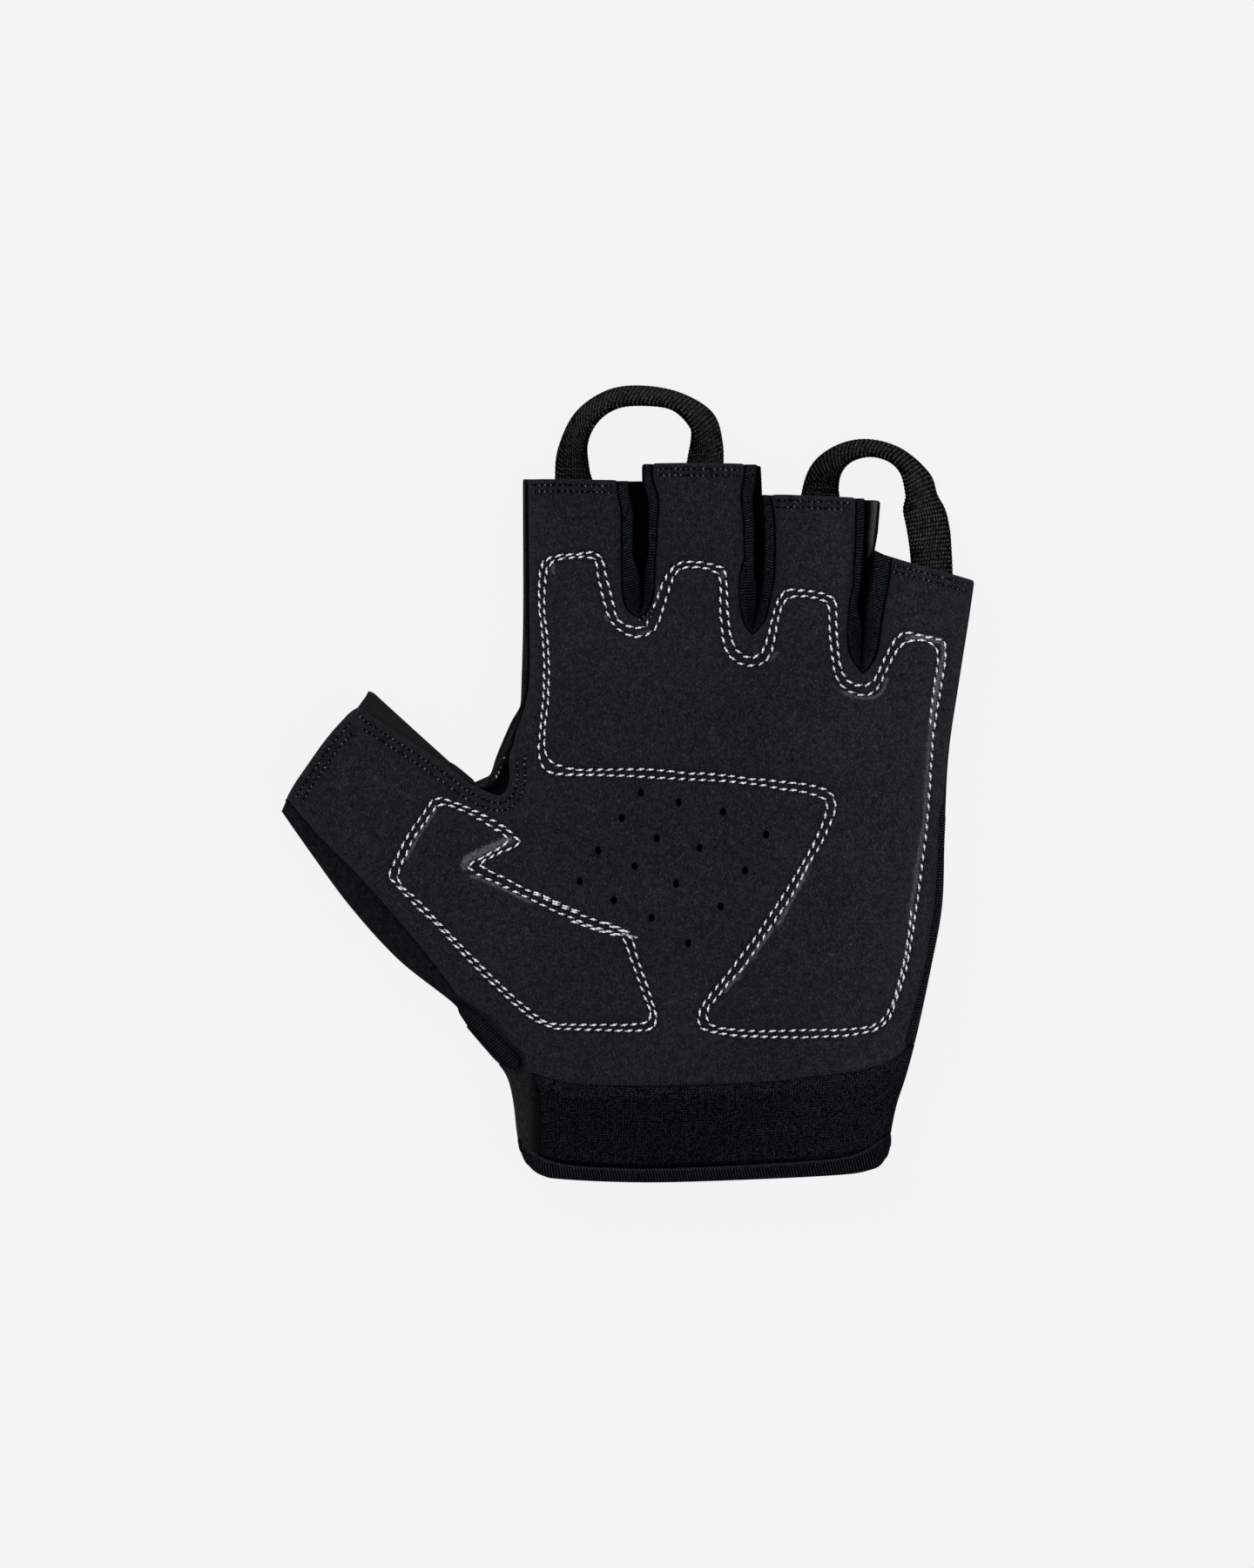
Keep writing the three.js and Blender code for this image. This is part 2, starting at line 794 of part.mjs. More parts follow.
// Fleece thumb back: a dish under the thumb, turned up over both edges of the suede
const THUMB_ROWS = 7;
const thumbOver = [0, 0.06, 0.16, 0.34, 0.66, 0.84, 0.94, 1];
const thumbEdgeHigh = along(THUMB_TOP, THUMB_ROWS);
const thumbEdgeLow = along([...THUMB_LOW.slice(0, 5), [-37.6, -53.8]], THUMB_ROWS).reverse();
const seamHigh = new THREE.Vector2(-35.8, 0.25);
const seamLow = new THREE.Vector2(-37.6, -53.8);
const thumbDish = thumbEdgeHigh.map((a, j) =>
  thumbOver.map((t) => {
    const bow = 2.1 * Math.sin(Math.PI * t) * (1 - j / THUMB_ROWS);
    return between(a, thumbEdgeLow[j], t).add(new THREE.Vector2(bow, 0));
  }),
);
const fleeceDish = sheet(cellsOf(thumbDish), backBase, (x, y) => backTop(x, y, SEAM_WIDTH));
// The turned-up edge overlaps the dish along the outline, so the two are one piece.
const turnedUp = (x, y) => knitBase(x, y) - 1.2 * (1 - smooth(away(x, y, OUTER_SIDES), 0, 1.4));
const foldHigh = rung(
  along(THUMB_TOP.slice(1), 8),
  shifted(along(SUEDE_THUMB_TOP.slice(2), 8), -GAP),
  [0, 0.4, 1],
);
const foldLow = rung(
  along(THUMB_LOW.slice(0, 5), 12),
  shifted(along(SUEDE_THUMB_LOW.slice(0, 6), 12), -GAP),
  [0, 0.3, 0.65, 1],
);
const folds = [foldHigh, foldLow].map((rows) => sheet(cellsOf(rows), turnedUp, palmTop));
add("thumb_back", folds.reduce(joined, fleeceDish), FLEECE);

// Web in the crotch between thumb and index finger
const webOuter = along([[-24.4, 17], [-27.2, 11], [-30.5, 3.9], [-33.2, 0.6], [-35.4, -0.1]], 12);
const webInner = along([[-24.2, 16.6], [-26.7, 7.6], [-27.6, 1], [-29.6, -2.2], [-35.1, -0.3]], 12);
const webRows = rung(webOuter, webInner, [0, 0.5, 1]);
add("thumb_gusset", sheet(cellsOf(webRows), (x, y) => palmBase(x, y, WEB), palmTop), STRETCH);

// Cuff and its binding: flattened tubes
const moved = (line, x, y) => line.map((p) => new THREE.Vector2(p.x + x, p.y + y));
// A tube between two lines across the glove, with walls of the given thickness.
function tube(near, far, leftSide, rightSide, swell) {
  const columns = near.length - 1;
  const rows = leftSide.length - 1;
  const hull = sheet(
    cellsOf(coons(near, far, leftSide, rightSide)),
    backBase,
    (x, y) => palmTop(x, y) + swell,
  );
  const wall = KNIT * 1.5;
  const innerNear = moved(near, 0, 2).map((p, i) => p.setX(p.x + wall * (1 - (2 * i) / columns)));
  const innerFar = moved(far, 0, -2).map((p, i) => p.setX(p.x + wall * (1 - (2 * i) / columns)));
  const innerLeft = innerNear[0];
  const innerRight = innerNear[columns];
  const sideOf = (line, start, end, x) =>
    line.map((p, j) => (j === 0 ? start : j === rows ? end : new THREE.Vector2(p.x + x, p.y)));
  const bore = sheet(
    cellsOf(
      coons(
        innerNear,
        innerFar,
        sideOf(leftSide, innerLeft, innerFar[0], wall),
        sideOf(rightSide, innerRight, innerFar[columns], -wall),
      ),
    ),
    (x, y) => backBase(x, y) + KNIT * 1.1,
    (x, y) => palmBase(x, y, KNIT) - 0.1,
  );
  return cut(hull, bore);
}
const CUFF_COLUMNS = 18;
const cuffNear = moved(along(CUFF_SEAM, CUFF_COLUMNS), 0, -GAP);
const cuffFar = moved(along(BINDING_TOP, CUFF_COLUMNS), 0, GAP);
const cuffLeft = along([[-27.9, -66.45], [-25.9, -73], [-25, -80.55]], 3);
const cuffRight = along([[64.9, -63.15], [62.3, -72], [60.4, -79.75]], 3);
add("cuff_band", tube(cuffNear, cuffFar, cuffLeft, cuffRight, 0), ELASTIC);
const bindNear = moved(along(BINDING_TOP, CUFF_COLUMNS), 0, 0);
const bindFar = along(CUFF_MOUTH, CUFF_COLUMNS);
const bindLeft = along([[-25, -80.9], [-24.2, -85], [-22.7, -87.7]], 2);
const bindRight = along([[60.4, -80.1], [60.2, -83.6], [59.7, -86.1]], 2);
add("cuff_binding", tube(bindNear, bindFar, bindLeft, bindRight, BINDING_SWELL), ELASTIC);

// Ribbed roll at the wrist, thumb side
const rollInner = shifted(along(SUEDE_THUMB_LOW.slice(5), 8), -GAP);
const rollOuter = along([[-39, -51.2], [-36.2, -55.4], [-31.2, -61.1], [-26, -65.2]], 8);
const rollRows = rung(rollInner, rollOuter, [0, 0.25, 0.5, 0.75, 1]);
const rollMiddle = rollInner.map((p, i) => between(p, rollOuter[i], 0.5));
const rollTop = (x, y) => palmTop(x, y) + ROLL_SWELL * (1 - away(x, y, [rollMiddle]) / 6) - 0.4;
add("side_binding", sheet(cellsOf(rollRows), suedeBase, rollTop), ELASTIC);

// Pull loops
// Closed strip of tape between two edge lines.
function tape(outer, inner, count) {
  const spatial = (rows) => new THREE.CatmullRomCurve3(rows.map((r) => new THREE.Vector3(...r)));
  const edgeA = spatial(outer).getSpacedPoints(count);
  const edgeB = spatial(inner).getSpacedPoints(count);
  const position = [];
  for (let i = 0; i <= count; i += 1) {
    const across = edgeB[i].clone().sub(edgeA[i]);
    const before = edgeA[Math.max(0, i - 1)].clone().add(edgeB[Math.max(0, i - 1)]);
    const after = edgeA[Math.min(count, i + 1)].clone().add(edgeB[Math.min(count, i + 1)]);
    const face = across.clone().cross(after.sub(before)).normalize();
    if (face.z < 0) face.negate();
    face.multiplyScalar(TAPE / 2);
    for (const [edge, side] of [[edgeA, 1], [edgeB, 1], [edgeB, -1], [edgeA, -1]]) {
      const corner = edge[i].clone().addScaledVector(face, side);
      position.push(corner.x, corner.y, corner.z);
    }
  }
  const index = [0, 2, 1, 0, 3, 2];
  for (let i = 0; i < count; i += 1) {
    for (let k = 0; k < 4; k += 1) {
      const a = 4 * i + k;
      const b = 4 * i + ((k + 1) % 4);
      index.push(a, b + 4, a + 4, a, b, b + 4);
    }
  }
  const end = 4 * count;
  index.push(end, end + 1, end + 2, end, end + 2, end + 3);
  const geometry = new THREE.BufferGeometry();
  geometry.setAttribute("position", new THREE.Float32BufferAttribute(position, 3));
  geometry.setIndex(index);
  return geometry;
}
for (const [name, { outer, inner }] of Object.entries(LOOPS)) {
  add(`pull_loop_${name}`, tape(outer, inner, 26), WEBBING);
}

// The origin lies under the middle of the glove's box.
const extent = new THREE.Box3().setFromObject(glove);
const middle = extent.getCenter(new THREE.Vector3());
glove.position.set(-middle.x, -middle.y, -extent.min.z);

export default glove;
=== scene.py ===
"""Half-finger cycling glove, palm up: cloth, seams and stitching around its CAD frame.

Laid out as a Blender add-on and run as a script. Tables are in millimetres, in the plane of the
table that the glove lies on; a finished mesh is in metres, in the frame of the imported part.
"""

import math

import bpy
import numpy as np
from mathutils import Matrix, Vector, geometry
from mathutils.bvhtree import BVHTree
from mathutils.kdtree import KDTree


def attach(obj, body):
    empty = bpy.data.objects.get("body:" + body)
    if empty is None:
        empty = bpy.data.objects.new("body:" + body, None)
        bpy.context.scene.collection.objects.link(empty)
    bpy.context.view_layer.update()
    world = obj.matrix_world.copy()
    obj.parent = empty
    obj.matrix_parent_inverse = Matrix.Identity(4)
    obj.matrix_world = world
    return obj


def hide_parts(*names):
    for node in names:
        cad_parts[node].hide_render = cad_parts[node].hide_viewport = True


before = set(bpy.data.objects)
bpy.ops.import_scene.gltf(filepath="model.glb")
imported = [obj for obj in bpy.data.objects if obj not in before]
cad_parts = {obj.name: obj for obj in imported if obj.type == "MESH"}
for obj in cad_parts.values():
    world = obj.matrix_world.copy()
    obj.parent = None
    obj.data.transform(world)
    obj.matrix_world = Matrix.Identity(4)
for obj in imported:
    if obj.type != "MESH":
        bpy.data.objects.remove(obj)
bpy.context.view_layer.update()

bl_info = {
    "name": "Half-finger cycling glove",
    "version": (1, 0, 0),
    "blender": (4, 5, 0),
    "location": "3D View > Sidebar > Glove",
    "description": "Sews a half-finger cycling glove around its packed frame",
    "category": "Object",
}

MM = 0.001
CENTRING = np.array([-0.05, -0.117, 0.0])  # the frame's origin lies under the glove's middle

# Sizes of the cut pieces, mm
SUEDE = 1.3  # wall of the suede
KNIT = 1.2  # wall of the back, the fleece and the cuff
SIDE_TOP = 10.4  # height of the palm side where it meets the outer sides
SIDE_SLOPE = 1.15  # its steepness there
BACK_RIM = 6.0  # height of the back where it curls up to the outer sides
BACK_REACH = 10.0  # how far in that curl reaches
SLIT_RIM = 2.4  # the same two for its curl beside the slits
SLIT_REACH = 5.0
SLIT_TOP = 7.6  # height of the palm side beside a slit
SLIT_RISE = 6.6  # how far in it rises from there to its crown
SLIT_HALF = 0.4  # how far from a slit's middle line the palm stays at its lowest
THUMB_CROWN = 16.6  # highest the thumb rises
HOLE = np.array([0.9, 1.12])  # half the width and half the length of an air hole
FOAM = 2.0  # thickness of the pads
SLIT_GAP = 0.12  # from a slit's middle line to the cut edge of the back
SEAM_WIDTH = 1.7  # seam allowance folded inside the outer sides
SEAM_PLAY = 0.45  # from it to the suede above
WALL_BOW = 0.35  # how far a side wall bows outward
STRIP_WALL = 0.9  # wall of the knit strips
CUFF_LENGTH = 18  # from the palm to the binding

# Relief of the suede, mm
PAD_STEP = 0.75
SEAM_DIP = 0.55
HEM_TURN = 0.3
HEM_DIP = 0.26
EDGE_DROP = 0.4
HOLE_DIP = 0.3

# Points along the palm side, one edge and the back of a section of the wrist
WRIST_FRONT, WRIST_SIDE, WRIST_BACK = 300, 14, 160
JERSEY_COLUMNS = 90  # so many of its last points are jersey, not elastic

# Thread: rings and sides of one stitch, its slant to the seam, the turn that counts as a corner
STITCH_RINGS, STITCH_SIDES = 8, 6
SLANT, SLANT_SPREAD = 0.19, 0.06
SHARP_TURN = 0.85

# Cloth simulation: how much larger it runs, its frames, and the highest rise, mm
PUFF_SCALE = 10
PUFF_FRAMES = 20
PUFF_CAP = 1.5

# Height of the empty glove along its length: y, crown
CROWN = [
    (75, 15.2), (50, 15.8), (25, 18.2), (0, 20.2), (-25, 20.4), (-50, 18.0), (-68, 14.8), (-92, 13.6),
]

# Outlines seen from above: x, y
INDEX_SIDE = [
    (-23.7, 69.8), (-23.6, 52), (-23.6, 34), (-24.4, 17), (-27.2, 11), (-30.5, 3.9), (-33.2, 0.6),
    (-35.4, -0.1),
]
THUMB_TOP = [
    (-35.4, -0.1), (-41.1, 4.9), (-50, 12.9), (-56.4, 18.7), (-58.4, 20.5), (-59.6, 21), (-61, 20.1),
    (-63.4, 17),
]
THUMB_LOW = [(-79.3, -6.1), (-72.4, -16), (-63.5, -28.1), (-52.5, -40.2), (-40.1, -50.1), (-36.2, -56.6)]
WRIST_LEFT = [
    (-36.2, -56.6), (-30.6, -63), (-27.4, -67.3), (-25.9, -73), (-25, -80.5), (-24, -85.2),
    (-22.7, -87.7),
]
PINKY_SIDE = [
    (79.7, 46.5), (78.3, 36.9), (76.1, 22.9), (73.8, 7), (72.9, -10), (72.3, -28), (69.6, -43),
    (67.2, -54.5), (64.2, -66.2), (61.7, -74), (60.2, -81.5), (59.7, -86.1),
]
CUFF_MOUTH = [
    (-24.2, -85.2), (-23.5, -87), (-21.9, -88.8), (-19.5, -89.9), (-15.9, -90.6), (-3.9, -91.25),
    (10.1, -91.35), (32, -90.6), (50, -89.6), (56.1, -88.5), (58.1, -87.8), (59.3, -86.8), (60.1, -85.4),
    (60.4, -84),
]
CUFF_SEAM = [
    (-28.9, -64.9), (-25, -65.2), (-21.4, -66.4), (-15, -67.9), (-10, -68.7), (10.2, -69), (31.2, -68.2),
    (48.7, -66.5), (56.1, -64.8), (60.1, -63.3), (62.6, -61.5), (65.6, -60.3),
]
BINDING_TOP = [
    (-25, -80.9), (-22.4, -84), (-15.8, -87), (-3.9, -88.1), (10.2, -88.2), (38.2, -86.8), (52.3, -85),
    (60.4, -80.1),
]
SLITS = {
    "index_middle": [(3.6, 74), (3.7, 58), (3.4, 43)],
    "middle_ring": [(30.7, 74), (31.3, 58), (30.9, 48), (29.7, 40)],
    "ring_pinky": [(57.3, 66), (56.3, 50), (55, 42), (54.1, 31)],
}

# Suede edge round each crotch: down the side of one finger, then up the next
CROTCHES = {
    "index_middle": (
        [
            (-2.6, 69.4), (-2.5, 66.3), (-1.9, 63.9), (-1.6, 61.5), (-1.5, 48), (-1.2, 43.1),
            (-0.5, 40.3), (1, 38.6), (2.7, 37.6),
        ],
        [
            (2.7, 37.6), (4.5, 38.8), (5.7, 41.1), (6.3, 44), (6.5, 48), (6.6, 52), (7.1, 56), (7.2, 60),
            (7.6, 63.9), (7.3, 66.7), (6.5, 68.9), (6.1, 71), (6.1, 73.4),
        ],
    ),
    "middle_ring": (
        [
            (26.8, 73.2), (26.4, 69.5), (25.9, 66.3), (26.1, 63.1), (26.5, 59.9), (26.6, 54.7),
            (26.8, 52.7), (26.2, 50.3), (25.7, 48), (25.5, 44.7), (25.7, 41.5), (26.1, 38.3),
            (26.9, 35.9), (28.7, 33.7),
        ],
        [
            (28.7, 33.7), (30.1, 34.9), (31.6, 36.8), (32.3, 38.4), (32.9, 41.5), (33.4, 44), (34.1, 48),
            (34.3, 53), (34.3, 58), (34.1, 62), (33.7, 64), (33.3, 66.2),
        ],
    ),
    "ring_pinky": (
        [
            (52.2, 65.4), (52.2, 62), (52.1, 56), (51.9, 52), (51.7, 46), (50.9, 42), (50.5, 38),
            (50.4, 34), (50.7, 30.7), (51.7, 27.9), (53.8, 24.9),
        ],
        [
            (53.8, 24.9), (55.8, 26.4), (57.5, 29.9), (58.3, 33.9), (58.9, 37.9), (59.5, 41.5),
            (60.1, 44.7), (60.7, 48), (60.9, 51.4),
        ],
    ),
}
SUEDE_INDEX = [(-22.5, 69.7), (-22.3, 52), (-22.2, 38.4)]
SUEDE_WEB = [
    (-22.2, 38.4), (-22.1, 30), (-22.2, 24), (-22.7, 20), (-23.5, 17), (-24.5, 14.2), (-25.3, 11.9),
    (-25.9, 9), (-26.7, 7), (-26.9, 5), (-26.7, 2), (-26.9, -0.3), (-27.8, -2.1), (-29.1, -2.9),
]
SUEDE_THUMB_TOP = [
    (-29.1, -2.9), (-31, -2.5), (-35.2, -0.6), (-41.7, 4.2), (-49.3, 9.3), (-58.1, 15), (-59.7, 16.5),
    (-61.3, 17.3), (-62.6, 16.9), (-63.9, 15.9),
]
SUEDE_THUMB_LOW = [
    (-77.9, -3.2), (-69.9, -12.5), (-60.5, -21.9), (-48.7, -35.4), (-41, -45.4), (-38.5, -49.7),
    (-34.8, -52.4), (-32, -54.9), (-29.4, -57.6), (-27.2, -60.3), (-25.2, -62.9), (-24.4, -65.2),
]
ROLL_INNER = [
    (-38.4, -49.4), (-36.4, -50.9), (-32.9, -53), (-30.1, -55.6), (-27.8, -58.3), (-25.5, -61.1),
    (-24.5, -62.7), (-24, -64.6),
]
ROLL_OUTER = [
    (-39.5, -50.4), (-38.5, -52.8), (-36.3, -56), (-34.6, -58.2), (-32.6, -60.3), (-30.6, -62.4),
    (-28.6, -64.3), (-26, -66.1),
]
SUEDE_WRIST = [
    (-24.4, -65.2), (-18, -67.6), (-8, -69.1), (10.2, -69.1), (31.2, -68.3), (48.7, -66.7),
    (56.1, -65.1), (60.1, -63.7), (62.5, -62), (63.8, -60.8),
]
SUEDE_RIGHT = [
    (79.3, 46.6), (77.3, 33), (75.6, 22), (73.4, 7), (72.3, -7), (71.3, -25), (69, -41.6), (66, -53),
    (63.8, -60.8),
]
THUMB_SEAM = [(-35.4, -0.1), (-33.4, -28), (-36.6, -56)]
BACK_WEB = [
    (-35.4, -0.1), (-32.9, 1), (-31.2, 2.1), (-29.9, 5.9), (-28.4, 9.6), (-26.4, 14.1), (-24.8, 16.8),
    (-24.2, 18.6), (-24, 24), (-23.7, 34), (-23.6, 43),
]
WEB_OUTER = [
    (-24.6, 16.8), (-26.4, 13.9), (-28.4, 9.4), (-29.9, 5.7), (-31.2, 2), (-32.9, 0.9), (-35.4, -0.1),
]
WEB_INNER = [(-23.6, 16.8), (-25.8, 7.6), (-26.2, 1), (-28.4, -2.6), (-34.9, -0.6)]
FINGER_RIM = [
    [(54.9, 65.1), (54.6, 59.5), (54.4, 54), (54.3, 50.5)],
    [(57.9, 65.1), (57.4, 59.5), (56.7, 54.2), (55.4, 51)],
]
RING_CURL = [(65, 1.1), (58, 0.9), (53, 0.3), (50, 0)]  # the ring finger's rim rolls outward: y, how far
AIR_HOLES = [
    (3.2, -2.1), (11.8, -4.3), (22, -6.5), (-1.2, -7.9), (6.8, -12.5), (16.6, -14.7), (31.8, -11.7),
    (-6.6, -15.3), (1.8, -18.9), (11.2, -22.9), (27, -19.9), (-10.8, -22.3), (-3, -26.7), (5.6, -30.7),
    (21.4, -28.1), (14, -36.5),
]

# White seams round the two pads: x, y
PALM_SEAM_OUTER = [
    (-19.8, 49.3), (-19.3, 51), (-18.5, 51.5), (-17.1, 52), (-15.5, 52.5), (-11.2, 52.6), (-9.4, 53),
    (-7.1, 53.1), (-5.8, 51.7), (-5.2, 50), (-4.9, 48), (-3.1, 40.9), (-2.7, 38.6), (-1.9, 37),
    (1, 35.7), (2.7, 35.5), (4, 35.6), (6.1, 39.8), (7.5, 44), (8.7, 46.7), (9.8, 48.8), (11.4, 50.4),
    (12.9, 50.9), (16.7, 50.8), (19.4, 50.3), (21.8, 49.5), (22.6, 49.2), (22.9, 44.5), (23, 39.8),
    (23.6, 34.3), (24.2, 32), (25.1, 30.2), (26.9, 29.1), (29.1, 28.6), (30.7, 29.7), (31.5, 31.4),
    (32.3, 33.5), (33.8, 39.5), (35.4, 43.7), (36.9, 44.5), (42.7, 44.1), (45.2, 43.5), (47.2, 42.7),
    (48, 41.7), (47.9, 37.6), (48.1, 32.7), (48.6, 27.6), (49.3, 25.3), (50.6, 23.3), (52.5, 22.4),
    (54.8, 22.4), (56.1, 23), (57.1, 24.5), (60.9, 32.3), (62.3, 34.2), (63.6, 34.8), (67, 34),
    (72.9, 32.8), (73.1, 29.1), (71.7, 20.6), (70.9, 15.8), (70.1, 11.1), (69.7, 3.7), (69.2, -3.6),
    (69, -6.3), (68.8, -8.7), (68.3, -13.3), (67.7, -18.2), (66.7, -25.4), (65.9, -30.6), (64.9, -37.7),
    (64, -42.3), (62.1, -48.8), (61, -50.9), (60.6, -52.7), (59.7, -54.5), (58.5, -55.5), (56.1, -56.7),
    (50.5, -57.7), (45.7, -57.9), (40.5, -58.1), (32.7, -58), (25, -57.7), (18, -56.6), (16.5, -55.6),
    (16.3, -52.3), (17.1, -50.9), (21, -45.9), (22.5, -44.3), (25.6, -40.1), (29.7, -34.7),
    (32.8, -29.9), (37.1, -23.5), (39.2, -19.9), (41.7, -15.7), (43, -13.2), (44.8, -9), (46, -5.3),
    (45.7, -3.7), (44.2, -2.9), (38.6, -1.5), (35.9, -1.4), (31.3, -0.4), (23.6, 0.5), (15.8, 0.9),
    (9.1, 1.2), (2.6, 1.6), (-3.9, 1.9), (-8.3, 2), (-14.2, 2), (-17.4, 2.3), (-18.5, 2.8), (-19.4, 3.8),
    (-19.8, 4.8), (-20.2, 8.1), (-19.6, 14.2), (-19, 21.2), (-18.9, 28.5), (-19.3, 33.5), (-20, 40.2),
    (-20.2, 45),
]
PALM_SEAM_INNER = [
    (-18.1, 50), (-16.5, 51.3), (-12.7, 51.8), (-8.4, 52.1), (-7.1, 51.3), (-6.5, 46.8), (-4.5, 38.8),
    (-3.7, 37.3), (-2.4, 35.6), (0.2, 33.9), (1.9, 33.6), (3.8, 33.7), (5.6, 34.4), (6.7, 35.8),
    (7.5, 37.6), (8.8, 41.6), (10, 45.7), (10.8, 48), (12, 49.3), (13.5, 49.7), (16.4, 49.6),
    (18.8, 49.2), (21, 48.3), (21.5, 46.5), (21.4, 39.4), (22.2, 31.4), (23.4, 29.2), (25.2, 27.8),
    (27.3, 27), (29.2, 26.9), (30.8, 27.4), (32.4, 28.4), (33.2, 30.1), (33.5, 32.1), (35.1, 39.6),
    (35.9, 41.8), (37, 42.7), (38.8, 42.9), (40.7, 42.9), (45.3, 42.2), (46.3, 41), (46.5, 33.3),
    (47.5, 25.5), (48.3, 23.3), (50, 21.5), (52.2, 20.5), (54.3, 20.1), (56.3, 20.4), (57.6, 21.9),
    (58.4, 23.9), (61.5, 30.1), (62.9, 32.1), (65.2, 32.9), (68.3, 32.8), (69.6, 32.1), (71.4, 30.7),
    (71, 25.3), (70.5, 23.7), (70, 18.6), (69.6, 16.7), (69.4, 9.4), (69, 5.7), (68.6, -1.3),
    (68.6, -4.7), (68, -9.2), (67, -15.7), (66.5, -19.8), (65.2, -27.6), (64.8, -32.1), (63.9, -38.8),
    (62.4, -44.9), (61.4, -49), (59.6, -52.7), (58.5, -54.1), (56.6, -55.6), (49.3, -56.4),
    (45.1, -56.4), (40.1, -56.4), (35.1, -56.6), (29.9, -56.7), (25.3, -56.4), (20.3, -55.9),
    (18.3, -54.6), (18.1, -53.1), (18.5, -51), (20, -49.7), (22.8, -46.2), (26.6, -42.1), (30.8, -35.8),
    (35.2, -29.2), (36.7, -27.4), (39.3, -22.6), (41.9, -17.7), (43.9, -14.7), (45.9, -10.6),
    (47.6, -6.5), (47.8, -4), (46.8, -2.3), (45.1, -1.1), (40.4, -0.1), (36.8, 0.3), (30.9, 0.9),
    (28.6, 1), (23.8, 1.7), (16.8, 2.4), (14.4, 2.3), (7.2, 3.1), (2.7, 3.3), (-2, 3.2), (-6.9, 3.2),
    (-9.4, 3), (-13.6, 3.5), (-17, 4.6), (-18.2, 5.5), (-18.7, 7.3), (-19, 9.4), (-18.8, 12.6),
    (-18, 19.1), (-17.8, 26), (-18.1, 32.8), (-18.9, 38.9), (-18.9, 43.5), (-18.6, 48.2),
]
THUMB_SEAM_OUTER = [
    (-44.4, -3.4), (-41.6, -3.4), (-40.4, -4.2), (-38.3, -4.8), (-34, -6.6), (-28, -9.9), (-26, -11.6),
    (-24.2, -13.2), (-24.5, -13.9), (-27.1, -15.1), (-28.9, -15.7), (-33.8, -18.2), (-33.8, -18.9),
    (-32.3, -19.5), (-31, -20.4), (-29, -21), (-24.6, -23.5), (-21.1, -25.1), (-15.8, -27.8),
    (-9.3, -30.5), (-5.3, -31.8), (-0.4, -34), (1.1, -35), (2.3, -39.7), (4.6, -46.2), (6.7, -52.9),
    (6.9, -55.1), (5.3, -56.4), (1.6, -56.6), (-5.4, -56.4), (-10.5, -56.3), (-15.8, -56.1),
    (-18.3, -55.8), (-19.2, -54.8), (-21.1, -54.3), (-25.9, -50.4), (-29.6, -46.9), (-33.3, -43.5),
    (-36.5, -40.1), (-40, -36.4), (-44.6, -31.2), (-46.4, -29.9), (-51.5, -24.7), (-53.2, -22.8),
    (-54.5, -21.6), (-54.6, -20.7), (-51.3, -13.9), (-49.2, -10.1), (-47.9, -8.8),
]
THUMB_SEAM_INNER = [
    (-43.6, -4.9), (-42, -4.5), (-36.7, -6.6), (-32.6, -8.8), (-30.8, -10.1), (-28.7, -11),
    (-27.1, -12.4), (-27.1, -13.5), (-33.7, -17.3), (-36.4, -18.3), (-36.6, -19.3), (-32.4, -21.7),
    (-30.1, -22.4), (-28.1, -23.6), (-26, -24.4), (-24, -25.6), (-22.3, -26.2), (-16.3, -29.3),
    (-14.2, -30), (-7.9, -32.7), (-1, -34.6), (1.4, -41.3), (3.1, -46.2), (5, -50.9), (5.7, -53.4),
    (4.7, -54.8), (-0.5, -55.2), (-5.9, -55.2), (-11, -55.2), (-16.2, -55.1), (-18.6, -54.7),
    (-21.4, -52.6), (-25.9, -48.9), (-30.7, -44.4), (-35.5, -39.6), (-38.5, -36.6), (-43.4, -31.6),
    (-45, -29.7), (-48.2, -26.4), (-51.4, -23.8), (-52.7, -22.4), (-52.6, -21.2), (-51.7, -18.3),
    (-49.2, -13), (-45.7, -8.1),
]

# Stitches pulled under the cloth: x, y boxes for the outer and the inner palm row
SUNK = [[(4.6, 35.9, 7, 40.2)], [(62, -28, 71, 13)]]

# Short second rows over the thumb seam, where it was sewn twice, and its loose end
SEWN_TWICE = [
    [(-21.6, -24.5), (-16.4, -26.9), (-10.6, -29.4)],
    [(-12.9, -31.4), (-7.4, -33.4), (-2, -34.9)],
    [(-5.4, -31.4), (-1, -33.3), (0.8, -34.2)],
]
LOOSE_END = [(-1.2, -34.3), (0.6, -34.7), (2.5, -35.3)]

# Finger hems: left and right end of the turned edge
HEMS = {
    "index": ((-22.5, 69.7), (-2.6, 69.4)),
    "middle": ((6.1, 73.4), (26.8, 73.2)),
    "ring": ((33.3, 66.2), (52.2, 65.4)),
    "pinky": ((60.9, 51.4), (79.3, 46.6)),
}
THUMB_HEM = [(-77.9, -3.2), (-75.9, 0.1), (-73.6, 3.4), (-70.1, 8.4), (-67.3, 12), (-63.9, 15.9)]

# Rows of hem stitches: how far in from the edge of the fingers, then of the thumb
HEM_ROWS = (1.2, 2.65)
THUMB_HEM_ROWS = (1.7, 3.4)

# Tangle in the first crotch: black thread for the stray thread there, with painted shade along it where the
# crotch creases
CROTCH_TANGLE = [[(2.6, 37.2), (4.2, 38.4), (6.3, 39.9)], [(4.3, 35.9), (4.7, 37.2), (5.8, 38.5), (6.6, 39.9)]]

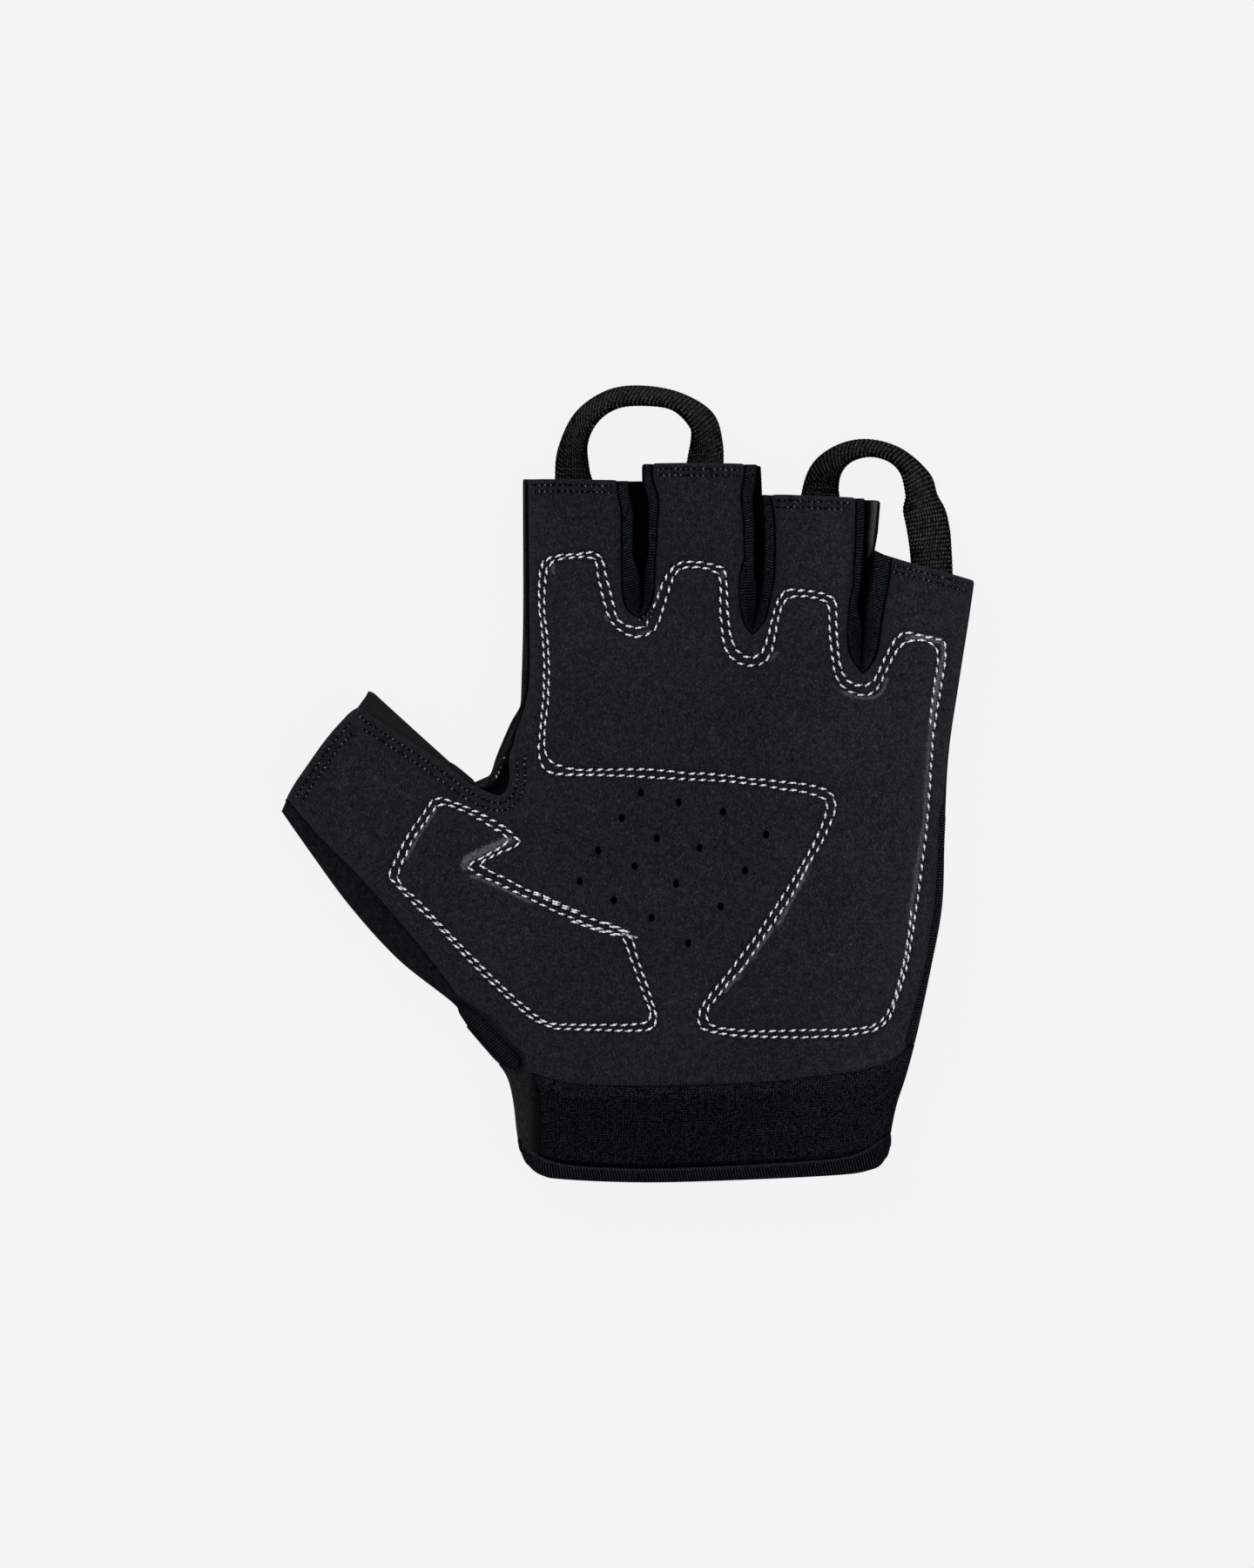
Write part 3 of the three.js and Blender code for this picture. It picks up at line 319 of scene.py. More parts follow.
# Knit strips beside each gap: width left and right of it, slant of their ribs left and right,
# and how dim the right one is
STRIPS = {
    "index_middle": (2.6, 2.3, -0.45, 0.45, 0.04),
    "middle_ring": (2.6, 2.5, -0.45, 0.45, 0.04),
    "ring_pinky": (1.9, 4.6, -0.3, -0.4, -0.2),
}

# How far the knit strips stand past the suede's hems, left and right
HEM_STEPS = {"index_middle": (0.0, 0.0), "middle_ring": (0.0, 0.0), "ring_pinky": (0.0, 2.2)}

# From one rib to the next: knit strips, side roll, webbing
KNIT_RIB = 0.62
ROLL_RIB = 0.68
TAPE_RIB = 0.96

# Grey marking-pen lines left beside the seams: half width, strength, then their points x, y
PEN_MARKS = [
    (0.7, 0.85, [
        (-26.9, -12.9), (-28.4, -13.5), (-30, -14.2), (-33.5, -15.9), (-35.7, -16.8), (-36.9, -17.9),
        (-37, -18.9),
    ]),
    (0.4, 0.6, [
        (-35.6, -21.2), (-34, -21.6), (-30.8, -23), (-27.2, -24.6), (-24.8, -25.8), (-22, -27.1),
    ]),
    (0.4, 0.5, [(-44, -5.8), (-45.6, -8.8), (-47.8, -11.8), (-49, -14.4), (-50.6, -17.2)]),
    (0.4, 0.6, [(42, -17.4), (40.6, -20.6), (39.6, -22.8), (37.6, -26.6), (35.8, -30.2), (34.4, -32.2)]),
    (0.4, 0.6, [(33.2, -33.3), (31.6, -35.6), (28, -40.2), (25.6, -43.4), (23.6, -46), (22.4, -47.6)]),
    (0.45, 0.65, [
        (64.3, 33.3), (67.6, 33.6), (70.6, 32.8), (72.3, 32.2), (72.6, 29.3), (72.1, 26.7), (71.3, 23.3),
        (70.5, 19), (69.8, 14.7), (69.3, 9.4), (68.8, 3), (68.6, -1.3), (68.3, -8), (67.5, -12.3),
        (67, -15.7), (66.4, -19.7), (66, -23.1), (65.2, -27.6), (64.8, -32),
    ]),
    (0.25, 0.3, [(64.2, -34.8), (63.6, -40), (62.4, -44.9), (61.6, -48.8), (60.6, -51.2)]),
    (0.3, 0.45, [
        (49.3, 20.9), (52, 19.9), (54.3, 19.6), (56.6, 19.8), (58, 20.7), (58.8, 22), (59.4, 24),
    ]),
    (0.4, 0.35, [(33.9, 29.8), (33.1, 28.2)]),
    (0.4, 0.4, [(-4.9, 38.7), (-4.3, 37.4)]),
    (0.3, 0.35, [(2.3, 33.9), (5, 34.7)]),
    (0.3, 0.35, [(-17, 50.3), (-16.8, 48)]),
    (0.4, 0.45, [(7.6, 45.2), (6.8, 41.7)]),
    (0.4, 0.35, [(22, 48.7), (21.8, 47)]),
]

# Webbing of the pull loops: outer and inner edge of the tape, x, y, z
LOOPS = {
    "index_middle": (
        [
            (-16.4, 62, 3), (-16.4, 70.1, 3), (-15.6, 77.3, 1.6), (-11.7, 85.5, 1.2), (-4.6, 90.5, 1.2),
            (3.4, 91.6, 1.2), (12.4, 89.9, 1.2), (19.5, 85.5, 1.2), (21.8, 78.6, 1.6), (21.9, 70.6, 2.2),
            (21.8, 64, 2.4),
        ],
        [
            (-6.8, 62, 2.6), (-8.2, 70.1, 3.2), (-9.7, 77.5, 8.2), (-7.2, 83.5, 9.4), (-2.2, 86.9, 9.6),
            (4.4, 87.5, 9.6), (10.6, 86.5, 9.6), (14.7, 82.6, 9.2), (15.3, 79, 8.6), (13.6, 72.5, 4),
            (12.5, 64, 2.5),
        ],
    ),
    "ring_pinky": (
        [
            (40.2, 58, 2.4), (40.3, 65.6, 2.2), (42.8, 73.2, 1.6), (48.4, 77.8, 1.2), (55.6, 79.2, 1.2),
            (63.4, 77, 1.2), (69.6, 71.5, 1.4), (71.4, 66.6, 1.8), (73.2, 63.2, 2.2), (74.2, 59, 3),
            (74.6, 55, 3.6), (74.9, 48.6, 5.6), (75, 41, 6.2),
        ],
        [
            (49.4, 58, 2.5), (48.9, 65.8, 3), (48.8, 71, 7.2), (51.2, 74.4, 9), (55.8, 75.8, 9.4),
            (60.6, 74.6, 9.4), (63.6, 71.4, 8.7), (64.6, 66.4, 7.4), (64.4, 64.8, 6.9),
            (63.9, 62.6, 6.2), (64.5, 59, 5.4), (65.3, 54.5, 4.3), (65.8, 49.6, 3.2), (66.2, 41, 2.6),
        ],
    ),
}

# Webbing: its thickness, then how its ribs lean and how dim it is from the left foot to the right
TAPE = 1.3
TAPE_LEAN = {"index_middle": (0.15, 0.4, 0.2, -0.2), "ring_pinky": (0.45, 0.4, 0.25, 0.1)}
TAPE_DIM = (0.55, 0.45, 0.0, 0.1)

# Painted shade in the creases of the tapes: x, y, half width
TAPE_FOLDS = [(65, 63.9, 1.2), (66.3, 53.2, 1.0), (14.6, 78.6, 1.0)]

# Bar stitches over the feet of the loops: x, y of each row's ends
BAR_ROWS = [
    [(-15.8, 71.6), (-9, 71.2)], [(-15.9, 72.8), (-9.2, 72.4)], [(14.4, 74.6), (21.6, 74.9)],
    [(14.2, 75.7), (21.6, 76)], [(41.4, 67.3), (48.3, 66.6)], [(41.8, 68.6), (48.4, 68)],
    [(66.5, 49.9), (74.4, 48)],
]


# Curves
def smooth(x, low, high):
    t = np.clip((x - low) / (high - low), 0, 1)
    return t * t * (3 - 2 * t)


def mix(a, b, t):
    return a + (b - a) * t


def unit(v):
    """The same directions at length one."""
    return v / np.maximum(np.linalg.norm(v, axis=-1, keepdims=True), 1e-9)


def bell(distance, width):
    """1 on a line, fading to nothing at about twice the width."""
    return np.exp(-((distance / width) ** 2))


def full_turn(sides):
    """Angles of the points round a ring."""
    return np.linspace(0, 2 * np.pi, sides + 1)[:-1]


def lengths(line):
    return np.concatenate([[0], np.cumsum(np.linalg.norm(np.diff(line, axis=0), axis=1))])


def at_shares(line, shares):
    """Points on a line at the given shares of its length."""
    run = lengths(line)
    target = np.asarray(shares) * run[-1]
    return np.stack([np.interp(target, run, line[:, k]) for k in range(line.shape[1])], axis=1)


def curve(rows):
    """Smooth line through the rows of a table."""
    p = np.array(rows, float)
    count = len(p)
    t = np.linspace(0, 1, 13)[:-1, None]
    parts = []
    for i in range(count - 1):
        a, b, c, d = (p[min(max(i + k, 0), count - 1)] for k in (-1, 0, 1, 2))
        v, w = (c - a) / 2, (d - b) / 2
        parts.append((2 * b - 2 * c + v + w) * t**3 + (-3 * b + 3 * c - 2 * v - w) * t**2 + v * t + b)
    parts.append(p[-1:])
    return np.concatenate(parts)


def along(rows, count):
    return at_shares(curve(rows), np.linspace(0, 1, count + 1))


def evenly(line, step):
    return at_shares(line, np.linspace(0, 1, max(2, int(round(lengths(line)[-1] / step)) + 1)))


def ring_of(*lines):
    """Closed outline from lines laid end to end."""
    joined = np.concatenate([np.array(line, float) for line in lines])
    keep = np.linalg.norm(joined - np.roll(joined, 1, axis=0), axis=1) > 1e-4
    return joined[keep]


def shut(ring):
    return np.concatenate([ring, ring[:1]])


def beside(line, distance):
    """The line moved sideways, to its left as it runs."""
    run = unit(np.gradient(line, axis=0))
    return line + np.stack([-run[:, 1], run[:, 0]], axis=1) * distance


def softened(rows):
    """Closed line through the rows of a table, with its corners eased as a sewing foot turns them."""
    line = evenly(shut(np.array(rows, float)), 0.4)[:-1]
    weights = {-1: 1, 0: 2, 1: 1}
    return shut(sum(w * np.roll(line, k, axis=0) for k, w in weights.items()) / sum(weights.values()))


def needle_holes(row, pitch):
    """Points one stitch apart along a row, with one at each of its sharp corners."""
    line = evenly(row, 0.3)
    run = lengths(line)
    span, near = 5, 6
    ahead = line[2 * span :] - line[span:-span]
    behind = line[span:-span] - line[: -2 * span]
    size = np.linalg.norm(ahead, axis=1) * np.linalg.norm(behind, axis=1)
    turn = np.zeros(len(line))
    turn[span:-span] = np.arccos(np.clip((ahead * behind).sum(1) / np.maximum(size, 1e-9), -1, 1))
    stops = [0.0]
    for i in range(span, len(line) - span):
        sharpest = turn[i] == turn[max(0, i - near) : i + near + 1].max()
        if turn[i] > SHARP_TURN and sharpest and run[i] - stops[-1] > pitch * 0.6:
            stops.append(run[i])
    stops.append(run[-1])
    shares = [0.0]
    for a, b in zip(stops, stops[1:]):
        shares += np.linspace(a, b, max(1, int(round((b - a) / pitch))) + 1)[1:].tolist()
    return at_shares(line, np.array(shares) / run[-1])


def to_segments(p, a, b):
    """Distance from each point to its own segment."""
    d = b - a
    t = np.clip(((p - a) * d).sum(-1) / np.maximum((d * d).sum(-1), 1e-12), 0, 1)
    return np.linalg.norm(p - a - t[..., None] * d, axis=-1)


def away(p, lines):
    """Distance from points to the nearest of several lines."""
    if len(p) * sum(len(line) for line in lines) < 300_000:
        a = np.concatenate([line[:-1] for line in lines])
        b = np.concatenate([line[1:] for line in lines])
        return to_segments(p[:, None], a, b).min(1)
    marks = [evenly(line, 0.3) for line in lines]
    before = np.concatenate([np.concatenate([m[:1], m[:-1]]) for m in marks])
    after = np.concatenate([np.concatenate([m[1:], m[-1:]]) for m in marks])
    marks = np.concatenate(marks)
    tree = KDTree(len(marks))
    for n, mark in enumerate(marks.tolist()):
        tree.insert((*mark, 0), n)
    tree.balance()
    found = np.array([tree.find((x, y, 0))[1] for x, y in p.tolist()])
    mark = marks[found]
    return np.minimum(to_segments(p, mark, before[found]), to_segments(p, mark, after[found]))


def inside(p, ring):
    a, b = ring, np.roll(ring, -1, axis=0)
    out = np.empty(len(p), bool)
    rise = np.where(a[:, 1] == b[:, 1], 1e-12, b[:, 1] - a[:, 1])
    for k in range(0, len(p), 3000):
        x, y = p[k : k + 3000, :1], p[k : k + 3000, 1:]
        crossed = (a[:, 1] > y) != (b[:, 1] > y)
        reach = (b[:, 0] - a[:, 0]) * (y - a[:, 1]) / rise + a[:, 0]
        out[k : k + 3000] = (crossed & (x < reach)).sum(1) % 2 == 1
    return out


def ripple(p, size, seed):
    """Smooth unevenness from -1 to 1 over plan points, with lumps of the given size."""
    lumps = np.random.RandomState(seed).uniform(-1, 1, (97, 97))
    q = p / size
    i = np.floor(q).astype(int)
    f = q - i
    f = f * f * (3 - 2 * f)

    def corner(a, b):
        return lumps[(i[:, 0] + a) % 97, (i[:, 1] + b) % 97]

    low = mix(corner(0, 0), corner(1, 0), f[:, 0])
    return mix(low, mix(corner(0, 1), corner(1, 1), f[:, 0]), f[:, 1])


OUTER_SIDES = [along(rows, 48) for rows in (INDEX_SIDE, THUMB_TOP, THUMB_LOW, WRIST_LEFT, PINKY_SIDE)]
SLIT_LINES = {name: along(rows, 16) for name, rows in SLITS.items()}
PAD_TABLES = (PALM_SEAM_OUTER, PALM_SEAM_INNER, THUMB_SEAM_OUTER, THUMB_SEAM_INNER)
PAD_SEAMS = [softened(rows) for rows in PAD_TABLES]
PAD_RINGS = [PAD_SEAMS[1][:-1], PAD_SEAMS[3][:-1]]


# Heights
def crown(p):
    x, y = p[:, 0], p[:, 1]
    height = np.where(y > CROWN[0][0], CROWN[0][1], CROWN[-1][1])
    for (high, top), (low, base) in zip(CROWN, CROWN[1:]):
        height = np.where((y <= high) & (y >= low), mix(base, top, smooth(y, low, high)), height)
    return mix(np.minimum(height, THUMB_CROWN), height, smooth(x, -42, -14))


def level_off(distance, reach):
    return 1 - (1 - np.minimum(distance / reach, 1)) ** 2


def from_slits(p):
    """Distance to the nearest open slit between two fingers."""
    return np.maximum(0, away(p, list(SLIT_LINES.values())) - SLIT_HALF)


def palm_shape(p):
    """Height and steepness of the palm side, before its pads and seams."""
    top = crown(p)
    side, slit = away(p, OUTER_SIDES), from_slits(p)
    reach = 2 * (top - SIDE_TOP) / SIDE_SLOPE
    from_side = SIDE_TOP + (top - SIDE_TOP) * level_off(side, reach)
    from_slit = SLIT_TOP + (top - SLIT_TOP) * level_off(slit, SLIT_RISE)
    side_slope = SIDE_SLOPE * np.maximum(0, 1 - side / reach)
    slit_slope = 2 * (top - SLIT_TOP) / SLIT_RISE * np.maximum(0, 1 - slit / SLIT_RISE)
    return np.minimum(from_side, from_slit), np.where(from_side < from_slit, side_slope, slit_slope)


def palm_top(p):
    return palm_shape(p)[0]


def palm_under(p, thick):
    z, slope = palm_shape(p)
    return z - thick * np.hypot(1, slope)


def back_base(p):
    """Outer face of the back, flat on the table and curling up at its edges."""
    rim = BACK_RIM * (1 - level_off(away(p, OUTER_SIDES), BACK_REACH))
    return np.maximum(rim, SLIT_RIM * (1 - level_off(from_slits(p), SLIT_REACH)))


def back_inner(p):
    """Inner face of the back, thickened to the folded seam allowance beside the outer seams."""
    side = away(p, OUTER_SIDES)
    slope = 2 * BACK_RIM / BACK_REACH * np.maximum(0, 1 - side / BACK_REACH)
    cloth = back_base(p) + KNIT * np.hypot(1, slope)
    seam = palm_under(p, SUEDE) - SEAM_PLAY
    share = smooth(side, SEAM_WIDTH, SEAM_WIDTH + 1.4)
    return np.where(side > SEAM_WIDTH + 1.5, cloth, mix(seam, cloth, share))


# Meshes
def thin_out(points, cell):
    """Drops points that share a cell with an earlier one."""
    keys = np.round(points / cell).astype(int)
    _, first = np.unique(keys, axis=0, return_index=True)
    return points[np.sort(first)]


def plan_mesh(outline, spacing, holes=(), rows=(), edge_step=0.6, inset=0.4):
    """Triangles filling an outline, closer together along its edge, its holes and its seam rows."""
    rim = evenly(shut(outline), edge_step)[:-1]
    turn = full_turn(16)
    circle = np.stack([np.cos(turn), np.sin(turn)], axis=1)
    drilled = [np.array(centre) + circle * radius for centre, radius in holes]
    rings = [rim, *drilled]
    limits = [shut(ring) for ring in rings]
    low, high = rim.min(0), rim.max(0)
    rise = spacing * math.sqrt(3) / 2
    x, y = np.meshgrid(np.arange(low[0], high[0], spacing), np.arange(low[1], high[1], rise))
    x = x + (np.arange(len(x)) % 2)[:, None] * spacing / 2
    fill = [beside(shut(rim), s * inset) for s in (1, -1)]
    fill += [np.array(c) + circle * (r + 0.35) for c, r in holes]
    fill += [evenly(beside(row, s), 0.7) for row in rows for s in (0, 0.6, -0.6)]
    fill = thin_out(np.concatenate([*fill, np.stack([x.ravel(), y.ravel()], axis=1)]), spacing * 0.5)
    fill = fill[inside(fill, rim)]
    for ring in drilled:
        fill = fill[~inside(fill, ring)]
    fill = fill[away(fill, limits) > inset * 0.7]
    edges, start = [], 0
    for ring in rings:
        edges += [(start + i, start + (i + 1) % len(ring)) for i in range(len(ring))]
        start += len(ring)
    points = np.concatenate([*rings, fill])
    found = geometry.delaunay_2d_cdt([Vector(p) for p in points], edges, [], 0, 1e-5)
    plan = np.array([tuple(v) for v in found[0]])
    tris = np.array([f for f in found[2] if len(f) == 3])
    middle = plan[tris].mean(axis=1)
    keep = inside(middle, rim)
    for ring in drilled:
        keep &= ~inside(middle, ring)
    tris = tris[keep]
    a, b, c = (plan[tris[:, k]] for k in range(3))
    area = (b[:, 0] - a[:, 0]) * (c[:, 1] - a[:, 1]) - (b[:, 1] - a[:, 1]) * (c[:, 0] - a[:, 0])
    tris[area < 0] = tris[area < 0][:, ::-1]
    return plan, tris[np.abs(area) > 1e-7]


def shell(plan, tris, upper, lower, bulge=0.25):
    """Closed cloth between two heights, with a rounded edge all round."""
    count = len(plan)
    edges = np.concatenate([tris[:, [0, 1]], tris[:, [1, 2]], tris[:, [2, 0]]])
    code = edges[:, 0] * count + edges[:, 1]
    edges = edges[~np.isin(code, edges[:, 1] * count + edges[:, 0])]
    run = unit(plan[edges[:, 1]] - plan[edges[:, 0]])
    outward = np.zeros((count, 2))
    for k in (0, 1):
        np.add.at(outward, edges[:, k], np.stack([run[:, 1], -run[:, 0]], axis=1))
    ids = np.unique(edges)
    outward = unit(outward[ids])
    place = np.full(count, -1)
    place[ids] = np.arange(len(ids))
    verts = [np.column_stack([plan, upper]), np.column_stack([plan, lower])]
    levels = [lambda e: e]
    start = 2 * count
    for t in (0.15, 0.5, 0.85):
        bow = bulge * math.sqrt(1 - (2 * t - 1) ** 2)
        z = mix(upper[ids], lower[ids], t)
        verts.append(np.column_stack([plan[ids] + outward * bow, z]))
        levels.append(lambda e, s=start: place[e] + s)
        start += len(ids)
    levels.append(lambda e: e + count)
    faces = [tuple(t) for t in tris.tolist()] + [tuple(t) for t in (tris[:, ::-1] + count).tolist()]
    for above, below in zip(levels, levels[1:]):
        a, b = edges[:, 0], edges[:, 1]
        faces += np.column_stack([above(a), below(a), below(b), above(b)]).tolist()
    return np.concatenate(verts), faces


def note(obj, name, values, shape=None):
    """A number at each point of a piece, or of its grid, for its material to read."""
    layer = obj.data.attributes.new(name, "FLOAT", "POINT")
    values = np.broadcast_to(values, shape or np.shape(values))
    layer.data.foreach_set("value", np.array(values, np.float32).ravel())


def measure(along_it, across):
    """The cloth's own measure at each point of a grid, in millimetres along and across."""
    return np.stack(np.broadcast_arrays(along_it, across), axis=2)


def alone(obj):
    bpy.ops.object.select_all(action="DESELECT")
    obj.select_set(True)
    bpy.context.view_layer.objects.active = obj


def piece(name, points, faces, material, replaces=(), uv=None, angle=55):
    """Object at the origin from points in millimetres; it rides on the glove's one body."""
    points = np.column_stack([points[:, :2], np.maximum(points[:, 2], 0.01)])
    mesh = bpy.data.meshes.new(name)
    mesh.from_pydata(((points + CENTRING) * MM).tolist(), [], faces)
    if uv is not None:
        layer = mesh.uv_layers.new(name="cloth")
        layer.data.foreach_set("uv", np.asarray(uv, np.float32).ravel())
    obj = bpy.data.objects.new(name, mesh)
    bpy.context.scene.collection.objects.link(obj)
    mesh.materials.append(material)
    alone(obj)
    bpy.ops.object.shade_smooth_by_angle(angle=math.radians(angle))
    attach(obj, "root")
    if replaces:
        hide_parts(*replaces)
    return obj


def woven(name, grid, uv, material, replaces=(), wrap=False, tube=False, angle=70):
    """Cloth from a grid of points; wrap joins the last column to the first, tube the last row."""
    rows, columns = grid.shape[:2]
    r, c = np.meshgrid(np.arange(rows - (not tube)), np.arange(columns - (not wrap)), indexing="ij")
    r, c = r.ravel(), c.ravel()
    corners = [(r, c), (r, c + 1), (r + 1, c + 1), (r + 1, c)]
    faces = np.stack([(a % rows) * columns + b % columns for a, b in corners], axis=1)
    across = uv[:, -1] + (uv[:, -1] - uv[:, -2])
    wide = np.concatenate([uv, across[:, None]], axis=1)
    wide = np.concatenate([wide, (wide[-1] + wide[-1] - wide[-2])[None]], axis=0)
    flat_uv = np.stack([wide[a, b] for a, b in corners], axis=1).reshape(-1, 2)
    return piece(name, grid.reshape(-1, 3), faces.tolist(), material, replaces, flat_uv, angle)


def thicken(obj, thickness, offset=-1.0):
    """Gives a one-sided cloth its wall."""
    alone(obj)
    wall = obj.modifiers.new("wall", "SOLIDIFY")
    wall.thickness = thickness * MM
    wall.offset = offset
    wall.use_even_offset = False
    wall.use_rim = True
    bpy.ops.object.modifier_apply(modifier=wall.name)


def vectors(items, kind):
    """One vector of each point or face of a mesh."""
    values = np.empty(len(items) * 3, np.float32)
    items.foreach_get(kind, values)
    return values.reshape(-1, 3)


def face_up(obj):
    """Turns a cloth's faces up, so that its wall grows inward."""
    if vectors(obj.data.polygons, "normal")[:, 2].sum() < 0:
        obj.data.flip_normals()


def face_out(obj):
    """Turns an open tube's faces to its outside."""
    mesh = obj.data
    heights = vectors(mesh.vertices, "co")[:, 2]
    middle = (heights.min() + heights.max()) / 2
    outward = (vectors(mesh.polygons, "center")[:, 2] - middle) * vectors(mesh.polygons, "normal")[:, 2]
    if outward.sum() < 0:
        mesh.flip_normals()


def roll(name, line, across, wide, z, step, cloth, replaces=()):
    """Roll of cloth along a line, from the width and the height of each point round it."""
    grid = np.dstack([line[:, None] + across[:, None] * wide[..., None], z])
    uv = measure(lengths(line)[:, None], np.arange(wide.shape[1]) * step)
    made = woven(name, grid, uv, cloth, replaces, wrap=True)
    face_out(made)
    return made


# Stitches
def surface_of(obj):
    """The piece's faces, to lay thread on, in millimetres of the tables."""
    points = vectors(obj.data.vertices, "co") / MM - CENTRING
    faces = [tuple(face.vertices) for face in obj.data.polygons]
    return BVHTree.FromPolygons([Vector(p) for p in points.tolist()], faces)


def top_of(surfaces, x, y):
    """Highest place on the cloths at a plan point, with its normal, or None."""
    hits = [surface.ray_cast(Vector((x, y, 80)), Vector((0, 0, -1))) for surface in surfaces]
    return max((hit for hit in hits if hit[0]), key=lambda hit: hit[0].z, default=None)


def stitch_faces():
    """Faces of one stitch, and the share along and round it of each of their corners."""
    rings, sides = STITCH_RINGS, STITCH_SIDES
    faces = [tuple(range(sides))[::-1], tuple((rings - 1) * sides + k for k in range(sides))]
    corners = [(0, 0)] * (2 * sides)
    for i in range(rings - 1):
        for k in range(sides):
            a, b = i * sides + k, i * sides + (k + 1) % sides
            faces.append((a, b, b + sides, a + sides))
            corners += [(i, k), (i, k + 1), (i + 1, k + 1), (i + 1, k)]
    return faces, np.array(corners, float) / (rings - 1, sides)


def stitch_points(place, ahead, side, up, half, thick, lift, phase):
    """Two plies twisted together: an oval thread that turns as it runs and dips at both ends."""
    s = np.linspace(-1, 1, STITCH_RINGS)
    swell = np.sqrt(1 - 0.82 * np.abs(s) ** 3) * (1 - 0.25 * smooth(s, 0, 0.5))
    turn = np.arange(STITCH_SIDES) / STITCH_SIDES * 2 * np.pi
    rise = lift - (lift + thick * 1.1) * np.abs(s) ** 3
    ring_x = np.cos(turn)[None] * swell[:, None] * thick * 1.12
    ring_y = np.sin(turn)[None] * swell[:, None] * thick * 0.66
    cos, sin = np.cos(phase)[:, None], np.sin(phase)[:, None]
    wide, tall = ring_x * cos - ring_y * sin, ring_x * sin + ring_y * cos
    along_it = np.repeat(s[:, None] * half, STITCH_SIDES, axis=1)
    p = place + along_it[..., None] * ahead + wide[..., None] * side
    return (p + (tall + rise[:, None])[..., None] * up).reshape(-1, 3)


def sew(name, rows, cloth, material, slot, pitch, length, radius, lift=0.1, zigzag=0.0, seed=1, sunk=()):
    """Row after row of single stitches of two-ply thread, each one dipping into the cloth."""
    surfaces = [surface_of(c) for c in cloth]
    rng = np.random.RandomState(seed)
    one_faces, corners = stitch_faces()
    s = np.linspace(-1, 1, STITCH_RINGS)
    verts, faces, uvs = [], [], []
    for row_index, row in enumerate(rows):
        line = needle_holes(row, pitch)
        boxes = sunk[row_index] if row_index < len(sunk) else ()
        for n in range(len(line) - 1):
            start, end = Vector((*line[n], 0)), Vector((*line[n + 1], 0))
            run = (end - start).normalized()
            middle = (start + end) / 2 + Vector((*rng.uniform(-0.06, 0.06, 2), 0))
            slant, long, wide, twist = rng.uniform(-1, 1, 4)
            if any(x0 < middle.x < x1 and y0 < middle.y < y1 for x0, y0, x1, y1 in boxes):
                continue
            if zigzag:
                sideways = Vector((-run.y, run.x, 0)) * (zigzag if n % 2 else -zigzag)
                run = (run * pitch + sideways).normalized()
            hit = top_of(surfaces, middle.x, middle.y)
            if hit is None:
                continue
            up = hit[1].normalized()
            if up.z <= 0:
                up = -up
            ahead = (run - up * run.dot(up)).normalized()
            side = up.cross(ahead)
            slant = SLANT_SPREAD * slant + SLANT
            cos, sin = math.cos(slant), math.sin(slant)
            ahead, side = ahead * cos + side * sin, side * cos - ahead * sin
            half = length / 2 * (1 + 0.1 * long)
            thick = radius * (1 + 0.1 * wide)
            phase = 0.45 * twist - s * half * math.pi / (radius * 4)
            axes = (np.array(axis) for axis in (hit[0], ahead, side, up))
            base = len(verts) * STITCH_RINGS * STITCH_SIDES
            faces += [tuple(v + base for v in face) for face in one_faces]
            verts.append(stitch_points(*axes, half, thick, lift, phase))
            uvs.append(corners)
    return piece(name, np.concatenate(verts), faces, material, uv=np.concatenate(uvs), angle=80)


# Materials
def linear(red, green, blue):
    """Screen values 0 to 255 as the light values that a shader takes."""
    screen = [v / 255 for v in (red, green, blue)]
    return tuple(((v + 0.055) / 1.055) ** 2.4 if v > 10 / 255 else v / 12.92 for v in screen)


